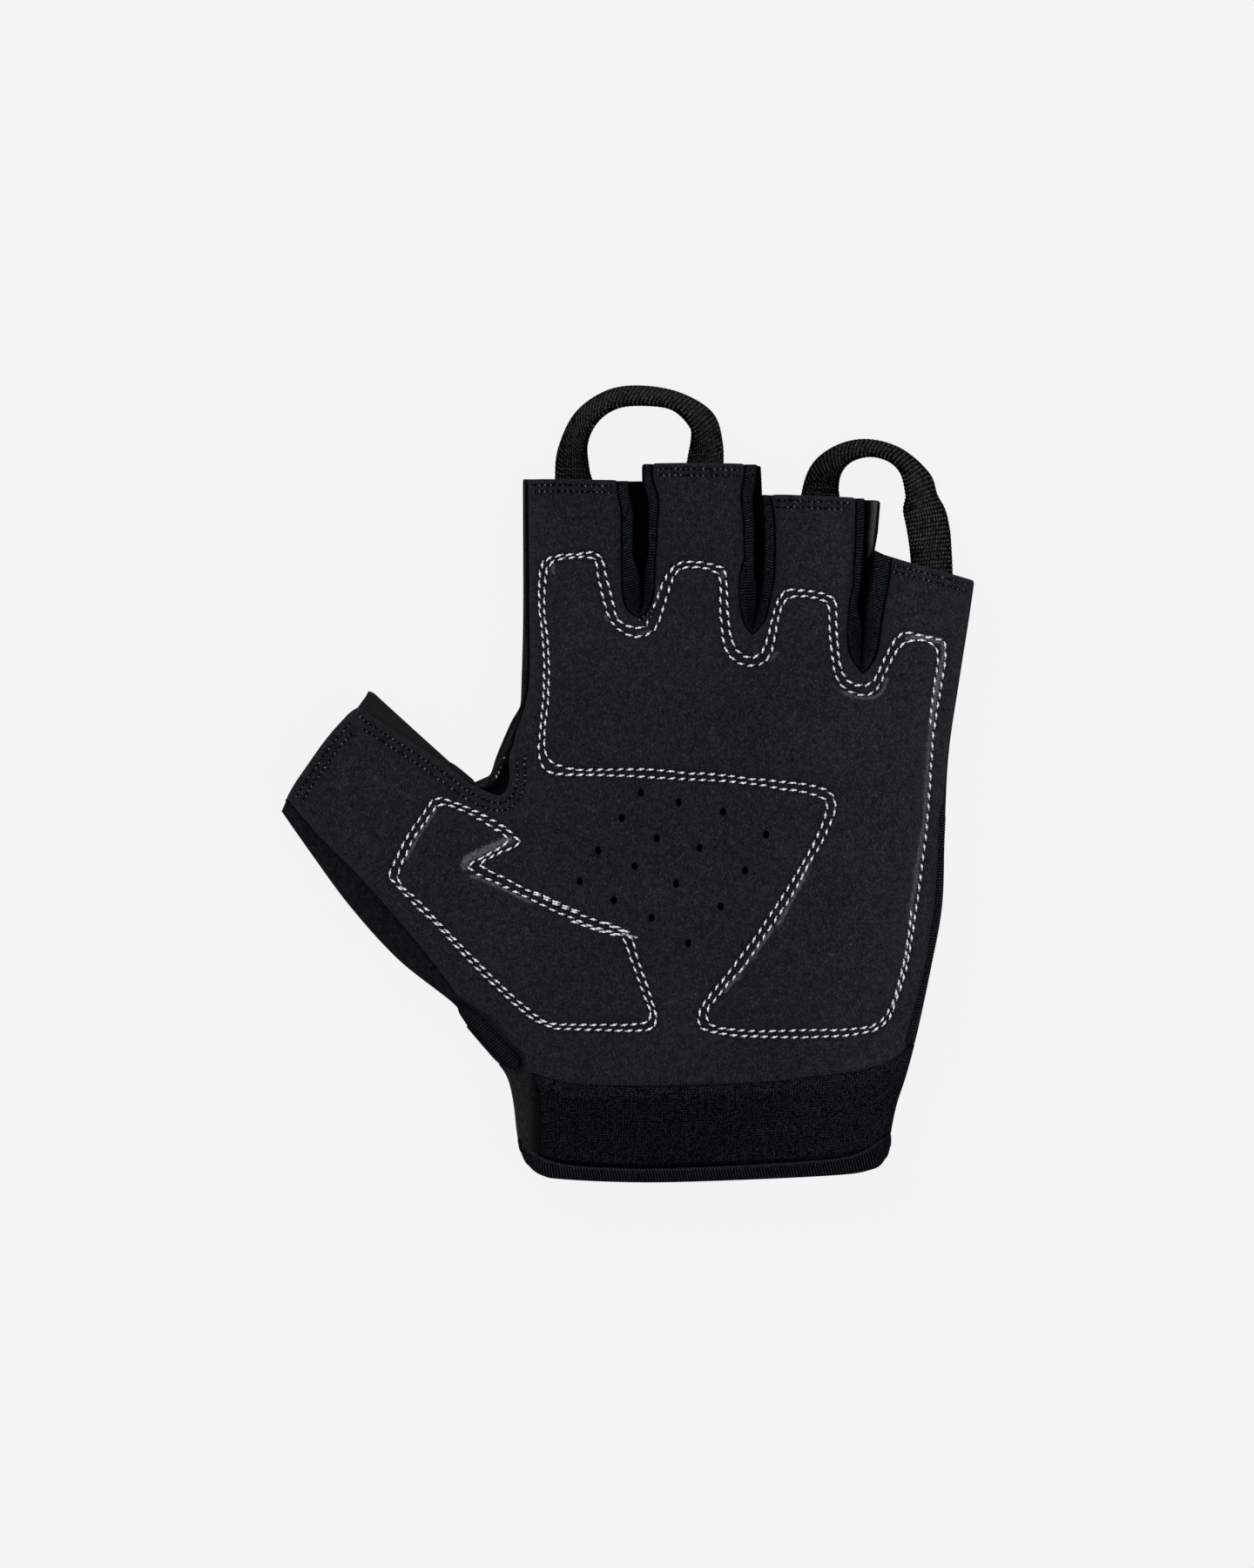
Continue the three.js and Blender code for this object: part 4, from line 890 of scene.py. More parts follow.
class Recipe:
    """A material and short ways to add and join its nodes."""

    def __init__(self, name, roughness, sheen=0.0, specular=0.0):
        self.material = bpy.data.materials.new(name)
        self.material.use_nodes = True
        self.tree = self.material.node_tree
        self.shader = self.tree.nodes["Principled BSDF"]
        self.shader.inputs["Roughness"].default_value = roughness
        self.shader.inputs["Sheen Weight"].default_value = sheen
        self.shader.inputs["Sheen Roughness"].default_value = 0.6
        self.shader.inputs["Specular IOR Level"].default_value = specular

    def put(self, made, key, value):
        if isinstance(value, bpy.types.NodeSocket):
            self.tree.links.new(value, made.inputs[key])
        else:
            made.inputs[key].default_value = value

    def node(self, kind, values=(), **settings):
        made = self.tree.nodes.new(kind)
        for key, value in settings.items():
            setattr(made, key, value)
        for key, value in dict(values).items():
            self.put(made, key, value)
        return made

    def place(self):
        return self.node("ShaderNodeTexCoord").outputs["Object"]

    def cloth_measure(self):
        """The two numbers of the cloth's own measure."""
        uv = self.node("ShaderNodeUVMap", uv_map="cloth").outputs["UV"]
        parts = self.node("ShaderNodeSeparateXYZ", {0: uv})
        return parts.outputs[0], parts.outputs[1]

    def noted(self, name):
        """A number that note() left at the piece's points."""
        return self.node("ShaderNodeAttribute", attribute_name=name).outputs["Fac"]

    def noise(self, where, scale, detail=2.0, roughness=0.6):
        values = {"Vector": where, "Scale": scale, "Detail": detail, "Roughness": roughness}
        return self.node("ShaderNodeTexNoise", values).outputs["Fac"]

    def calc(self, operation, a, b=0.0, c=0.0):
        return self.node("ShaderNodeMath", {0: a, 1: b, 2: c}, operation=operation).outputs[0]

    def plus(self, a, b):
        return self.calc("ADD", a, b)

    def times(self, first, *more):
        for value in more:
            first = self.calc("MULTIPLY", first, value)
        return first

    def ridges(self, value):
        """Round ridges, one from each whole number to the next."""
        return self.calc("ABSOLUTE", self.calc("SINE", self.times(value, math.pi)))

    def spread(self, value, low, high, start=0.0, end=1.0):
        values = {"Value": value, "From Min": low, "From Max": high, "To Min": start, "To Max": end}
        return self.node("ShaderNodeMapRange", values).outputs["Result"]

    def speckle(self, where, scale, low, high, start, end, detail=2, roughness=0.6):
        """Noise, spread out between two of its levels."""
        return self.spread(self.noise(where, scale, detail, roughness), low, high, start, end)

    def tint(self, colour, shade):
        """The colour made darker or lighter by a factor."""
        scaled = self.node("ShaderNodeVectorMath", {0: colour, "Scale": shade}, operation="SCALE")
        return scaled.outputs["Vector"]

    def blend(self, share, a, b):
        made = self.node("ShaderNodeMix", data_type="RGBA")
        self.put(made, 0, share)
        for key, value in ((6, a), (7, b)):
            self.put(made, key, value if isinstance(value, bpy.types.NodeSocket) else (*value, 1.0)[:4])
        return made.outputs[2]

    def finish(self, colour, height, depth, strength=0.6):
        """Colour and relief, depth in millimetres, into the shader; points noted as dim are darker, those
        with a negative dim lighter. The dim note carries painted shade and painted light, and some plain
        differences of tone.
        """
        colour = self.tint(colour, self.calc("SUBTRACT", 1.0, self.noted("dim")))
        self.tree.links.new(colour, self.shader.inputs["Base Color"])
        relief = {"Height": height, "Strength": strength, "Distance": depth * MM}
        bump = self.node("ShaderNodeBump", relief)
        self.tree.links.new(bump.outputs["Normal"], self.shader.inputs["Normal"])
        return self.material


def suede_cloth(name, colour):
    """Microfibre suede: felted nap, pale fibres lying both ways, soft clouds of shade and tone."""
    r = Recipe(name, 0.95, sheen=0.02, specular=0.02)
    where = r.place()
    nap = r.noise(where, 2600, 3, 0.8)
    fibres = []
    for turn in (0.45, -0.3):
        lie = {"Vector": where, "Rotation": (0, 0, turn), "Scale": (1, 3.8, 1)}
        laid = r.node("ShaderNodeMapping", lie, vector_type="TEXTURE").outputs["Vector"]
        fibres.append(r.noise(laid, 4600, 1, 0.4))
    fibre = r.spread(r.calc("MAXIMUM", *fibres), 0.6, 0.74)
    shade = r.times(
        r.spread(nap, 0.34, 0.66, 0.3, 1.7),
        r.speckle(where, 700, 0.32, 0.68, 0.7, 1.3),
        r.speckle(where, 48, 0.3, 0.7, 0.88, 1.12, 3, 0.55),
    )
    red, green, blue = colour
    mottle = r.spread(r.noise(where, 900, 2, 0.5), 0.4, 0.6)
    cast = r.blend(mottle, (red * 1.06, green, blue * 0.97), (red * 0.94, green, blue * 1.03))
    tone = r.tint(cast, r.plus(shade, r.times(fibre, 2.2)))
    mark = r.times(r.noted("pen_mark"), r.spread(nap, 0.42, 0.57, 0.12, 1.0))
    tone = r.blend(mark, tone, linear(118, 120, 125))
    return r.finish(tone, r.plus(r.times(nap, 0.6), r.times(fibre, 0.4)), 0.2)


def stretch_cloth(name, colour):
    """Smooth stretch jersey with a barely visible fine stitch."""
    r = Recipe(name, 0.8, sheen=0.02, specular=0.02)
    where = r.place()
    grain = r.noise(where, 2600)
    shade = r.times(
        r.spread(grain, 0.35, 0.65, 0.5, 1.55),
        r.speckle(where, 70, 0.3, 0.7, 0.85, 1.15, 2, 0.5),
        r.speckle(where, 900, 0.32, 0.68, 0.7, 1.3),
    )
    return r.finish(r.tint(colour, shade), grain, 0.1, 0.5)


def fleece_cloth(name, colour):
    """Looped towelling fleece: soft dark pile in small tufts, and a browner face without pile where noted."""
    r = Recipe(name, 1.0, sheen=0.02)
    where = r.place()
    smoothed = r.noted("worn_smooth")
    cells = r.node("ShaderNodeTexVoronoi", {"Vector": where, "Scale": 1250, "Randomness": 1.0})
    tufts = cells.outputs["Distance"]
    pile = r.noise(where, 1900, 3, 0.7)
    height = r.calc("SUBTRACT", r.times(pile, 0.8), r.times(tufts, 0.8))
    shade = r.times(
        r.spread(tufts, 0.1, 0.8, 1.4, 0.5),
        r.spread(pile, 0.3, 0.7, 0.6, 1.5),
        r.speckle(where, 620, 0.34, 0.66, 0.6, 1.4),
    )
    shade = r.spread(smoothed, 0, 1, shade, r.speckle(where, 2400, 0.3, 0.7, 0.75, 1.3))
    return r.finish(r.tint(r.blend(smoothed, colour, linear(24, 23, 23)), shade), height, 0.5, 0.8)


def knit_cloth(name, colour, wale=0.62, course=0.5):
    """Fine knit in rows of small V stitches, read from the cloth's own measure in millimetres."""
    r = Recipe(name, 0.85)
    u, v = r.cloth_measure()
    column = r.calc("FRACT", r.calc("DIVIDE", u, wale))
    lean = r.calc("ABSOLUTE", r.calc("SUBTRACT", column, 0.5))
    phase = r.plus(r.calc("DIVIDE", v, course), r.times(lean, 1.4))
    loop = r.calc("SINE", r.times(phase, 2 * math.pi))
    rib = r.calc("SINE", r.times(column, math.pi))
    shade = r.times(
        r.spread(loop, -1, 1, 0.0, 2.1),
        r.spread(rib, 0, 1, 0.3, 1.35),
        r.speckle(r.place(), 2350, 0.36, 0.64, 0.1, 2.1),
        r.speckle(r.place(), 620, 0.34, 0.66, 0.82, 1.24),
    )
    return r.finish(r.tint(colour, shade), r.plus(r.times(loop, 0.4), r.times(rib, 0.5)), 0.12, 0.8)


def rib_cloth(name, colour, pitch, ply=0.34, slant=0.0, contrast=1.15, bead=0.3, sharp=1.0, rough=1.0):
    """Corded cloth: ribs one pitch apart, with a painted highlight on each crest and painted shade in the
    grooves, spun from fine slanting plies.
    """
    r = Recipe(name, 0.75)
    u, v = r.cloth_measure()
    ribs = r.calc("DIVIDE", u, pitch)
    crest = r.ridges(ribs)
    lay = r.plus(r.plus(v, r.times(r.calc("FLOOR", ribs), ply / 2)), r.times(u, slant))
    plies = r.calc("SINE", r.times(lay, 2 * math.pi / ply))
    # Painted shade in the grooves between the ribs, painted highlight along their crests
    groove, top = 1 - 0.85 * contrast, 1 + 1.1 * contrast * sharp**0.5
    shade = r.times(
        r.spread(r.calc("POWER", crest, 2 * sharp), 0, 1, groove, top),
        r.spread(plies, -1, 1, 1 - bead, 1 + bead),
        r.speckle(r.place(), 1500, 0.34, 0.66, 1 - 0.35 * rough, 1 + 0.4 * rough),
    )
    return r.finish(r.tint(colour, shade), r.plus(r.times(crest, 0.6), r.times(plies, 0.25)), 0.12)


def thread(name, colour, roughness, specular=0.2, flecks=0.0):
    """Two-ply thread with painted shade in the line where the plies meet, fine hairs and, when asked for,
    painted glints.
    """
    r = Recipe(name, roughness, specular=specular)
    where = r.place()
    share, turn = r.cloth_measure()
    # Painted shade in the line where the two plies meet
    groove = r.ridges(r.plus(r.times(turn, 2.0), 0.5))
    hairs = r.noise(where, 5200)
    shade = r.times(
        r.spread(hairs, 0.3, 0.7, 0.88, 1.2),
        r.speckle(where, 380, 0.3, 0.7, 0.94, 1.08, 2, 0.5),
        r.spread(groove, 0.05, 0.45, 0.4, 1.0),
        r.spread(share, 0.5, 0.72, 1.0, 0.5),
    )
    # Painted glints: small highlights a third of the way along each stitch
    if flecks:
        glint = r.spread(r.calc("ABSOLUTE", r.calc("SUBTRACT", share, 0.3)), 0.18, 0.08)
        glint = r.times(glint, r.speckle(where, 2600, 0.46, 0.6, 0.0, 1.0, 1, 0.4))
        shade = r.plus(shade, r.times(glint, flecks))
    return r.finish(r.tint(colour, shade), r.plus(groove, r.times(hairs, 0.4)), 0.1)


def foam(name, colour):
    """Foam with small round cells."""
    r = Recipe(name, 0.9, specular=0.2)
    where = r.place()
    cells = r.node("ShaderNodeTexVoronoi", {"Vector": where, "Scale": 1600}).outputs["Distance"]
    shade = r.times(
        r.spread(cells, 0.0, 0.7, 0.6, 1.2), r.speckle(where, 160, 0.3, 0.7, 0.85, 1.15, 2, 0.5)
    )
    return r.finish(r.tint(colour, shade), cells, 0.15, 0.7)


# Outlines of the cut pieces
def suede_outline():
    lines = [curve(CROTCHES[name][k]) for name in SLITS for k in (0, 1)]
    left = (SUEDE_WRIST, SUEDE_THUMB_LOW, THUMB_HEM[::-1], SUEDE_THUMB_TOP, SUEDE_WEB, SUEDE_INDEX)
    return ring_of(*lines, curve(SUEDE_RIGHT), *(curve(table)[::-1] for table in left))


def pinched_slit(name, top, sign, extra=()):
    """One side of the slit between two fingers, from a hem down to the crotch."""
    line = SLIT_LINES[name]
    y = np.linspace(top, line[-1, 1], 40)
    x = np.interp(-y, -line[:, 1], line[:, 0]) + sign * SLIT_GAP * np.minimum(1, (y - line[-1, 1]) / 4)
    if len(extra):
        rows = np.array(extra, float)
        x = x + np.interp(-y, -rows[:, 0], rows[:, 1])
    return np.stack([x, y], axis=1)


def back_outline():
    lines = [
        [(-23.7, 69.8)],
        pinched_slit("index_middle", 69.5, -1),
        pinched_slit("index_middle", 73.3, 1)[::-1],
        pinched_slit("middle_ring", 73.1, -1),
        pinched_slit("middle_ring", 66.4, 1)[::-1],
        pinched_slit("ring_pinky", 65, -1, extra=RING_CURL),
        pinched_slit("ring_pinky", 53.4, 1)[::-1],
        curve([*PINKY_SIDE[:8], (65.9, -60)]),
        (curve(CUFF_SEAM) + (0, 0.35))[::-1][2:-2],
        [(-28.9, -64.6), (-30.6, -63), (-36.6, -56)],
        curve(THUMB_SEAM)[::-1],
        curve(BACK_WEB),
    ]
    return ring_of(*lines)


# The padded palm
SOFT = {}


def in_pads(p):
    """Which points lie over a pad, and how far inside its seam."""
    over, depth = np.zeros(len(p), bool), np.zeros(len(p))
    for ring in PAD_RINGS:
        within = inside(p, ring)
        over |= within
        depth = np.where(within, away(p, [shut(ring)]), depth)
    return over, depth


def puff():
    """Cloth simulation of the suede over its two pads, blown up between its seams.

    It runs at ten times the glove's size, where the solver's steps suit the weight of the cloth,
    and gives the rise of the padded places as a surface to read from.
    """
    if "puff" in SOFT:
        return SOFT["puff"]
    plan, tris = plan_mesh(suede_outline(), 2.4, edge_step=2.4, inset=1.2)
    faces = [tuple(t) for t in tris.tolist()]
    depth = in_pads(plan)[1]
    start = np.column_stack([plan, palm_top(plan)])
    mesh = bpy.data.meshes.new("puffing_cover")
    mesh.from_pydata((start * MM * PUFF_SCALE).tolist(), [], faces)
    cover = bpy.data.objects.new("puffing_cover", mesh)
    bpy.context.scene.collection.objects.link(cover)
    held = cover.vertex_groups.new(name="held")
    held.add([int(i) for i in np.nonzero(depth < 0.9)[0]], 1.0, "REPLACE")
    cloth = cover.modifiers.new("Cloth", "CLOTH")
    cloth.settings.quality = 6
    cloth.settings.vertex_group_mass = "held"
    cloth.settings.use_pressure = True
    cloth.settings.uniform_pressure_force = 4.0
    cloth.settings.effector_weights.gravity = 0.0
    cloth.point_cache.frame_start = 1
    cloth.point_cache.frame_end = PUFF_FRAMES
    for step in range(1, PUFF_FRAMES + 1):
        bpy.context.scene.frame_set(step)
    blown = cover.evaluated_get(bpy.context.evaluated_depsgraph_get()).to_mesh()
    height = vectors(blown.vertices, "co")[:, 2] / MM / PUFF_SCALE
    rise = np.clip(height - start[:, 2], 0, PUFF_CAP)
    bpy.context.scene.frame_set(1)
    bpy.data.objects.remove(cover)
    bpy.data.meshes.remove(mesh)
    flat = [Vector((*p, 0)) for p in plan.tolist()]
    SOFT["puff"] = (BVHTree.FromPolygons(flat, faces), plan, tris, rise)
    return SOFT["puff"]


def rise_at(p):
    """Rise of the blown-up cover at plan points."""
    tree, plan, tris, rise = puff()
    out = np.zeros(len(p))
    for n, q in enumerate(p.tolist()):
        face = tree.find_nearest(Vector((*q, 0)))[2]
        a, b, c = plan[tris[face]]
        m = np.array([[b[0] - a[0], c[0] - a[0]], [b[1] - a[1], c[1] - a[1]]])
        s, t = np.linalg.solve(m, np.array(q) - a)
        out[n] = rise[tris[face]] @ np.array([1 - s - t, s, t])
    return out


def suede_face(p, outline):
    """The palm's outer face with pads, seam valleys, turned hems and soft creases."""
    over, depth = in_pads(p)
    lift = np.zeros(len(p))
    lift[over] = rise_at(p[over])
    z = palm_top(p) + (lift + PAD_STEP * smooth(depth, 0, 2.2))
    z -= SEAM_DIP * bell(away(p, PAD_SEAMS), 0.85)
    hems = [np.array(hem, float) for hem in (*HEMS.values(), THUMB_HEM)]
    z += HEM_TURN * (1 - smooth(away(p, hems), 3.3, 4.6))
    z -= HEM_DIP * bell(away(p, hem_rows()), 0.45)
    edge = away(p, [shut(outline)])
    z -= EDGE_DROP * (1 - smooth(edge, 0, 0.7))
    waves = 0.28 * ripple(p, 17, 3) * smooth(edge, 2, 10)
    return z + (waves + 0.09 * ripple(p, 5.5, 4) + 0.03 * ripple(p, 2.1, 5))


def hem_rows():
    """Black double rows along the turned edges of the suede."""
    rows = []
    for a, b in HEMS.values():
        a, b = np.array(a, float), np.array(b, float)
        run = (b - a) / np.linalg.norm(b - a)
        inward = np.array([run[1], -run[0]])
        for inset in HEM_ROWS:
            rows.append(np.stack([a + run * 0.8 + inward * inset, b - run * 0.7 + inward * inset]))
    web = curve(SUEDE_WEB)[::-1]
    web = web[(web[:, 1] < 9) & (web[:, 1] > -2.9)]
    border = np.concatenate([curve(SUEDE_THUMB_TOP)[::-1], web])
    for inset, stop in zip(THUMB_HEM_ROWS, (0.95, 0.98)):
        line = beside(border, -inset)
        line = line[away(line, [border]) > inset * 0.92]
        end = beside(curve(THUMB_HEM), -inset)
        rows.append(at_shares(end, np.linspace(0.04, 1 - inset * 0.033, 40)))
        rows.append(at_shares(line, np.linspace(0.03, stop, 60)))
    return [*rows, *(curve(row) for row in CROTCH_TANGLE)]


# What a user may change
def length_property(name, description, default, low, high):
    """A length in millimetres."""
    return bpy.props.FloatProperty(
        name=name, description=f"{description}, mm", default=default, min=low, max=high
    )


class GloveSizes(bpy.types.PropertyGroup):
    """Sizes of the thread and cloth."""

    stitch_pitch: length_property("Stitch pitch", "From one white stitch to the next", 2.33, 1.5, 5)
    stitch_length: length_property("Stitch length", "Visible length of a white stitch", 2.2, 1, 4)
    thread_radius: length_property("Thread radius", "Half the thickness of the white thread", 0.24, 0.1, 0.6)
    mesh_spacing: length_property("Suede mesh spacing", "Distance between mesh points", 0.9, 0.5, 3)
    rib_pitch: length_property("Binding rib pitch", "From one rib to the next", 0.66, 0.3, 2)


def shade_property(name, value):
    """A colour from its screen values, 0 to 255."""
    described = f"Colour of the {name.lower()}"
    return bpy.props.FloatVectorProperty(
        name=name, description=described, subtype="COLOR", size=3, default=linear(*value), min=0, max=1
    )


class GloveColours(bpy.types.PropertyGroup):
    """Colours of the cloths and threads."""

    suede: shade_property("Suede", (24, 24, 27.6))
    stretch: shade_property("Stretch back", (22, 22, 24))
    fleece: shade_property("Fleece", (15, 16, 20))
    rib: shade_property("Rib knit", (18, 21, 24))
    elastic: shade_property("Elastic cuff", (13.6, 13.9, 18.2))
    binding: shade_property("Cuff binding", (15, 16, 19))
    webbing: shade_property("Webbing", (22, 21, 21))
    white_thread: shade_property("White thread", (252, 254, 254))
    black_thread: shade_property("Black thread", (6, 6, 8))
    pale_thread: shade_property("Pale bar thread", (62, 62, 64))
    pad_foam: shade_property("Pad foam", (40, 40, 42))


def sizes():
    return bpy.context.scene.glove_sizes


def colours():
    return bpy.context.scene.glove_colours


def paint(name, make, *rest, **more):
    """A material by name, made once."""
    found = bpy.data.materials.get(name)
    return found or make(name, *rest, **more)


def stretch_paint():
    return paint("stretch_jersey", stretch_cloth, tuple(colours().stretch))


def rib_paint(name, colour, pitch, **more):
    return paint(name, rib_cloth, tuple(colour), pitch, **more)


def black_thread():
    # Black thread with painted glints of light on each stitch
    return paint("black_thread", thread, tuple(colours().black_thread), 0.6, 0.0, flecks=75)


def worn_thread():
    # White thread at less than half its brightness, for the web stitches and the loose thread end
    return paint("worn_thread", thread, tuple(0.42 * np.array(colours().white_thread)), 0.9)


# Operators
class GLOVE_OT_suede_palm(bpy.types.Operator):
    """Suede palm with its finger and thumb fronts, air holes, raised pads and turned hems"""

    bl_idname = "glove.suede_palm"
    bl_label = "Suede palm"

    def execute(self, context):
        outline = suede_outline()
        marks = [curve(row[2]) for row in PEN_MARKS]
        holes = [(centre, HOLE) for centre in AIR_HOLES]
        plan, tris = plan_mesh(outline, sizes().mesh_spacing, holes, [*PAD_SEAMS, *marks, *hem_rows()])
        upper = suede_face(plan, outline)
        for centre in AIR_HOLES:
            upper -= HOLE_DIP * (1 - smooth(np.linalg.norm((plan - centre) / HOLE, axis=1), 1, 1.7))
        lower = upper - SUEDE * np.hypot(1, palm_shape(plan)[1])
        points, faces = shell(plan, tris, upper, lower, 0.22)
        cloth = paint("palm_suede", suede_cloth, tuple(colours().suede))
        palm = piece("suede_palm", points, faces, cloth, ("palm_panel",))
        seen = points[:, :2]
        mark = np.zeros(len(points))
        for line, (half, strength, _) in zip(marks, PEN_MARKS):
            mark = np.maximum(mark, strength * (1 - smooth(away(seen, [line]), half * 0.6, half * 1.5)))
        note(palm, "pen_mark", mark)
        # Painted shade in the grooves of the hem rows and the pad seams, and a painted shadow beside the side
        # roll; the suede is also made lighter towards the little finger
        groove = 0.3 * bell(away(seen, hem_rows()), 0.6)
        seam = 0.5 * bell(away(seen, PAD_SEAMS), 0.6)
        shadow = 0.75 * bell(away(seen, [curve(ROLL_INNER)]), 0.6)
        note(palm, "dim", np.maximum.reduce([groove, seam, shadow]) - 0.24 * smooth(points[:, 0], 20, 72))
        return {"FINISHED"}


class GLOVE_OT_foam_pads(bpy.types.Operator):
    """Two foam pads under the suede, crowned and rounded off at the seams"""

    bl_idname = "glove.foam_pads"
    bl_label = "Foam pads"

    def execute(self, context):
        cloth = paint("pad_foam", foam, tuple(colours().pad_foam))
        for part, ring in zip(("palm", "thumb"), PAD_RINGS):
            plan, tris = plan_mesh(ring, 1.6, edge_step=1.2, inset=0.8)
            keep = away(plan[tris].mean(axis=1), [shut(ring)]) > 0.6
            z, slope = palm_shape(plan)
            cover = z + rise_at(plan) - SUEDE * np.hypot(1, slope) - 0.5
            eased = 0.5 * (1 - smooth(away(plan, [shut(ring)]), 0, 2.5))
            points, faces = shell(plan, tris[keep], cover - eased, cover - FOAM + eased, 0.4)
            pad = piece(f"{part}_foam", points, faces, cloth, (f"{part}_pad",))
        return {"FINISHED"}


class GLOVE_OT_fourchettes(bpy.types.Operator):
    """Rib-knit fourchettes, folded into the gaps between the fingers"""

    bl_idname = "glove.fourchettes"
    bl_label = "Fourchettes"

    def execute(self, context):
        look = {"ply": 0.5, "slant": 0.3, "bead": 0.6, "rough": 1.5}
        cloth = rib_paint("fourchette_rib", colours().rib, KNIT_RIB, **look)
        for name in CROTCHES:
            self.folded_strip(name, cloth)
        self.finger_rim()
        return {"FINISHED"}

    def folded_strip(self, name, cloth):
        """A strip from the suede's edge, down one finger and up the next, in to their slit."""
        down, up = CROTCHES[name]
        left_wide, right_wide, left_slant, right_slant, right_dim = STRIPS[name]
        line = SLIT_LINES[name]
        s = np.linspace(0, 2, 600)
        suede = np.concatenate([at_shares(curve(down), s[s < 1]), at_shares(curve(up), s[s >= 1] - 1)])
        suede = beside(suede, -0.45)
        fall = np.clip(np.abs(s - 1) - 2 / 7, 0, 1) * 7 / 5
        hem = np.where(s < 1, down[0][1], up[-1][1]) + np.where(s < 1, *HEM_STEPS[name])
        tail = np.clip(1 - np.abs(s - 1) * 3.5, 0, 1)
        y = mix(line[-1, 1], hem, fall) - tail * (line[-1, 1] - down[-1][1] - 1.4)
        height = (y - line[-1, 1])[:, None]
        half = SLIT_GAP * np.clip(height[:, 0] / 4, 0, 1) * np.where(s < 1, -1, 1)
        x = np.interp(-y, -line[:, 1], line[:, 0]) + half
        slit = np.stack([mix(x, down[-1][0], tail), y], axis=1)
        width = np.linalg.norm(slit - suede, axis=1)[:, None]
        t = np.linspace(0, 1, 26)[None, :]
        plan = suede[:, None] + (slit - suede)[:, None] * t[..., None]
        reach = t * width
        side = smooth(s, 0.9, 1.1)[:, None]
        seen = mix(left_wide, right_wide, side) + 0.6
        seen = mix(np.maximum(width - 0.7, seen), seen, smooth(height, 3.5, 9.5))
        sunk = smooth(reach, seen, seen + 0.8) * smooth(height, -1.5, 4)
        z = palm_top(suede)[:, None] - 0.4
        z = z - 1.3 * (1 - smooth(reach, 0.75, 1.15)) - 0.35 * smooth(reach, 1.4, 3.6)
        low = 3.2 * (1 - smooth(height, 2, 12)) * (1 - 0.7 * tail[:, None])
        z = z - low * smooth(t, 0.25, 1) ** 1.5
        z = mix(z, np.minimum(z, 3.6 + 3.4 * (1 - smooth(height, 0, 7))), sunk)
        fold = np.minimum(reach, 1.4) - 1.5 * np.maximum(reach - 1.4, 0)
        edge_run = lengths(suede)
        run = edge_run[:, None] + mix(left_slant, right_slant, side) * fold
        ends = np.minimum(edge_run, edge_run[-1] - edge_run)[:, None]
        rib = np.abs(np.sin(np.pi * run / KNIT_RIB)) * smooth(reach, 0.9, 1.4) * smooth(ends, 0, 1.2)
        grid = np.dstack([plan, z + 0.22 * rib * (1 - 0.6 * sunk)])
        replaces = (f"fourchette_{name}",)
        made = woven(f"fourchette_{name}_knit", grid, measure(run, reach), cloth, replaces)
        # A darker tone that shifts from the left strip to the right, a painted highlight along the crest of
        # the fold, and painted shade in the seam beside the suede, deep in the slit and at the slit's edge
        dim = mix(0.16, right_dim, side) - 0.75 * bell(reach - seen + 0.7, 0.8) * smooth(height, 0, 6)
        dim = np.maximum(dim, 0.95 * (1 - smooth(reach, 0.8, 1.15)))
        dim = np.maximum(dim, 0.82 * smooth(sunk, 0.1, 0.6))
        note(made, "dim", np.maximum(dim, 0.75 * smooth(reach, width - 0.8, width)))
        face_up(made)
        thicken(made, STRIP_WALL)

    def finger_rim(self):
        """The ring finger's back, rolled up into sight beside the little finger."""
        rows = np.linspace(0, 1, 46)
        left, right = (at_shares(curve(line), rows) for line in FINGER_RIM)
        t = np.linspace(0, 1, 12)
        plan = left[:, None] + (right - left)[:, None] * t[None, :, None]
        arch = np.sin(np.pi * np.clip(0.12 + 0.88 * t, 0, 1)) ** 0.7
        z = 3.0 + (5.0 - 1.6 * smooth(rows, 0.6, 1))[:, None] * arch[None]
        uv = measure(t * 2.4, rows[:, None] * 14)
        made = woven("ring_finger_rim", np.dstack([plan, z]), uv, stretch_paint())
        # Painted light towards the rim's right edge, painted shade on the rest
        lit = smooth(t[None], 0.25, 0.95) * (1 - smooth(rows, 0.62, 0.95))[:, None]
        note(made, "dim", mix(0.9, -6.5, lit))
        face_up(made)
        thicken(made, STRIP_WALL)


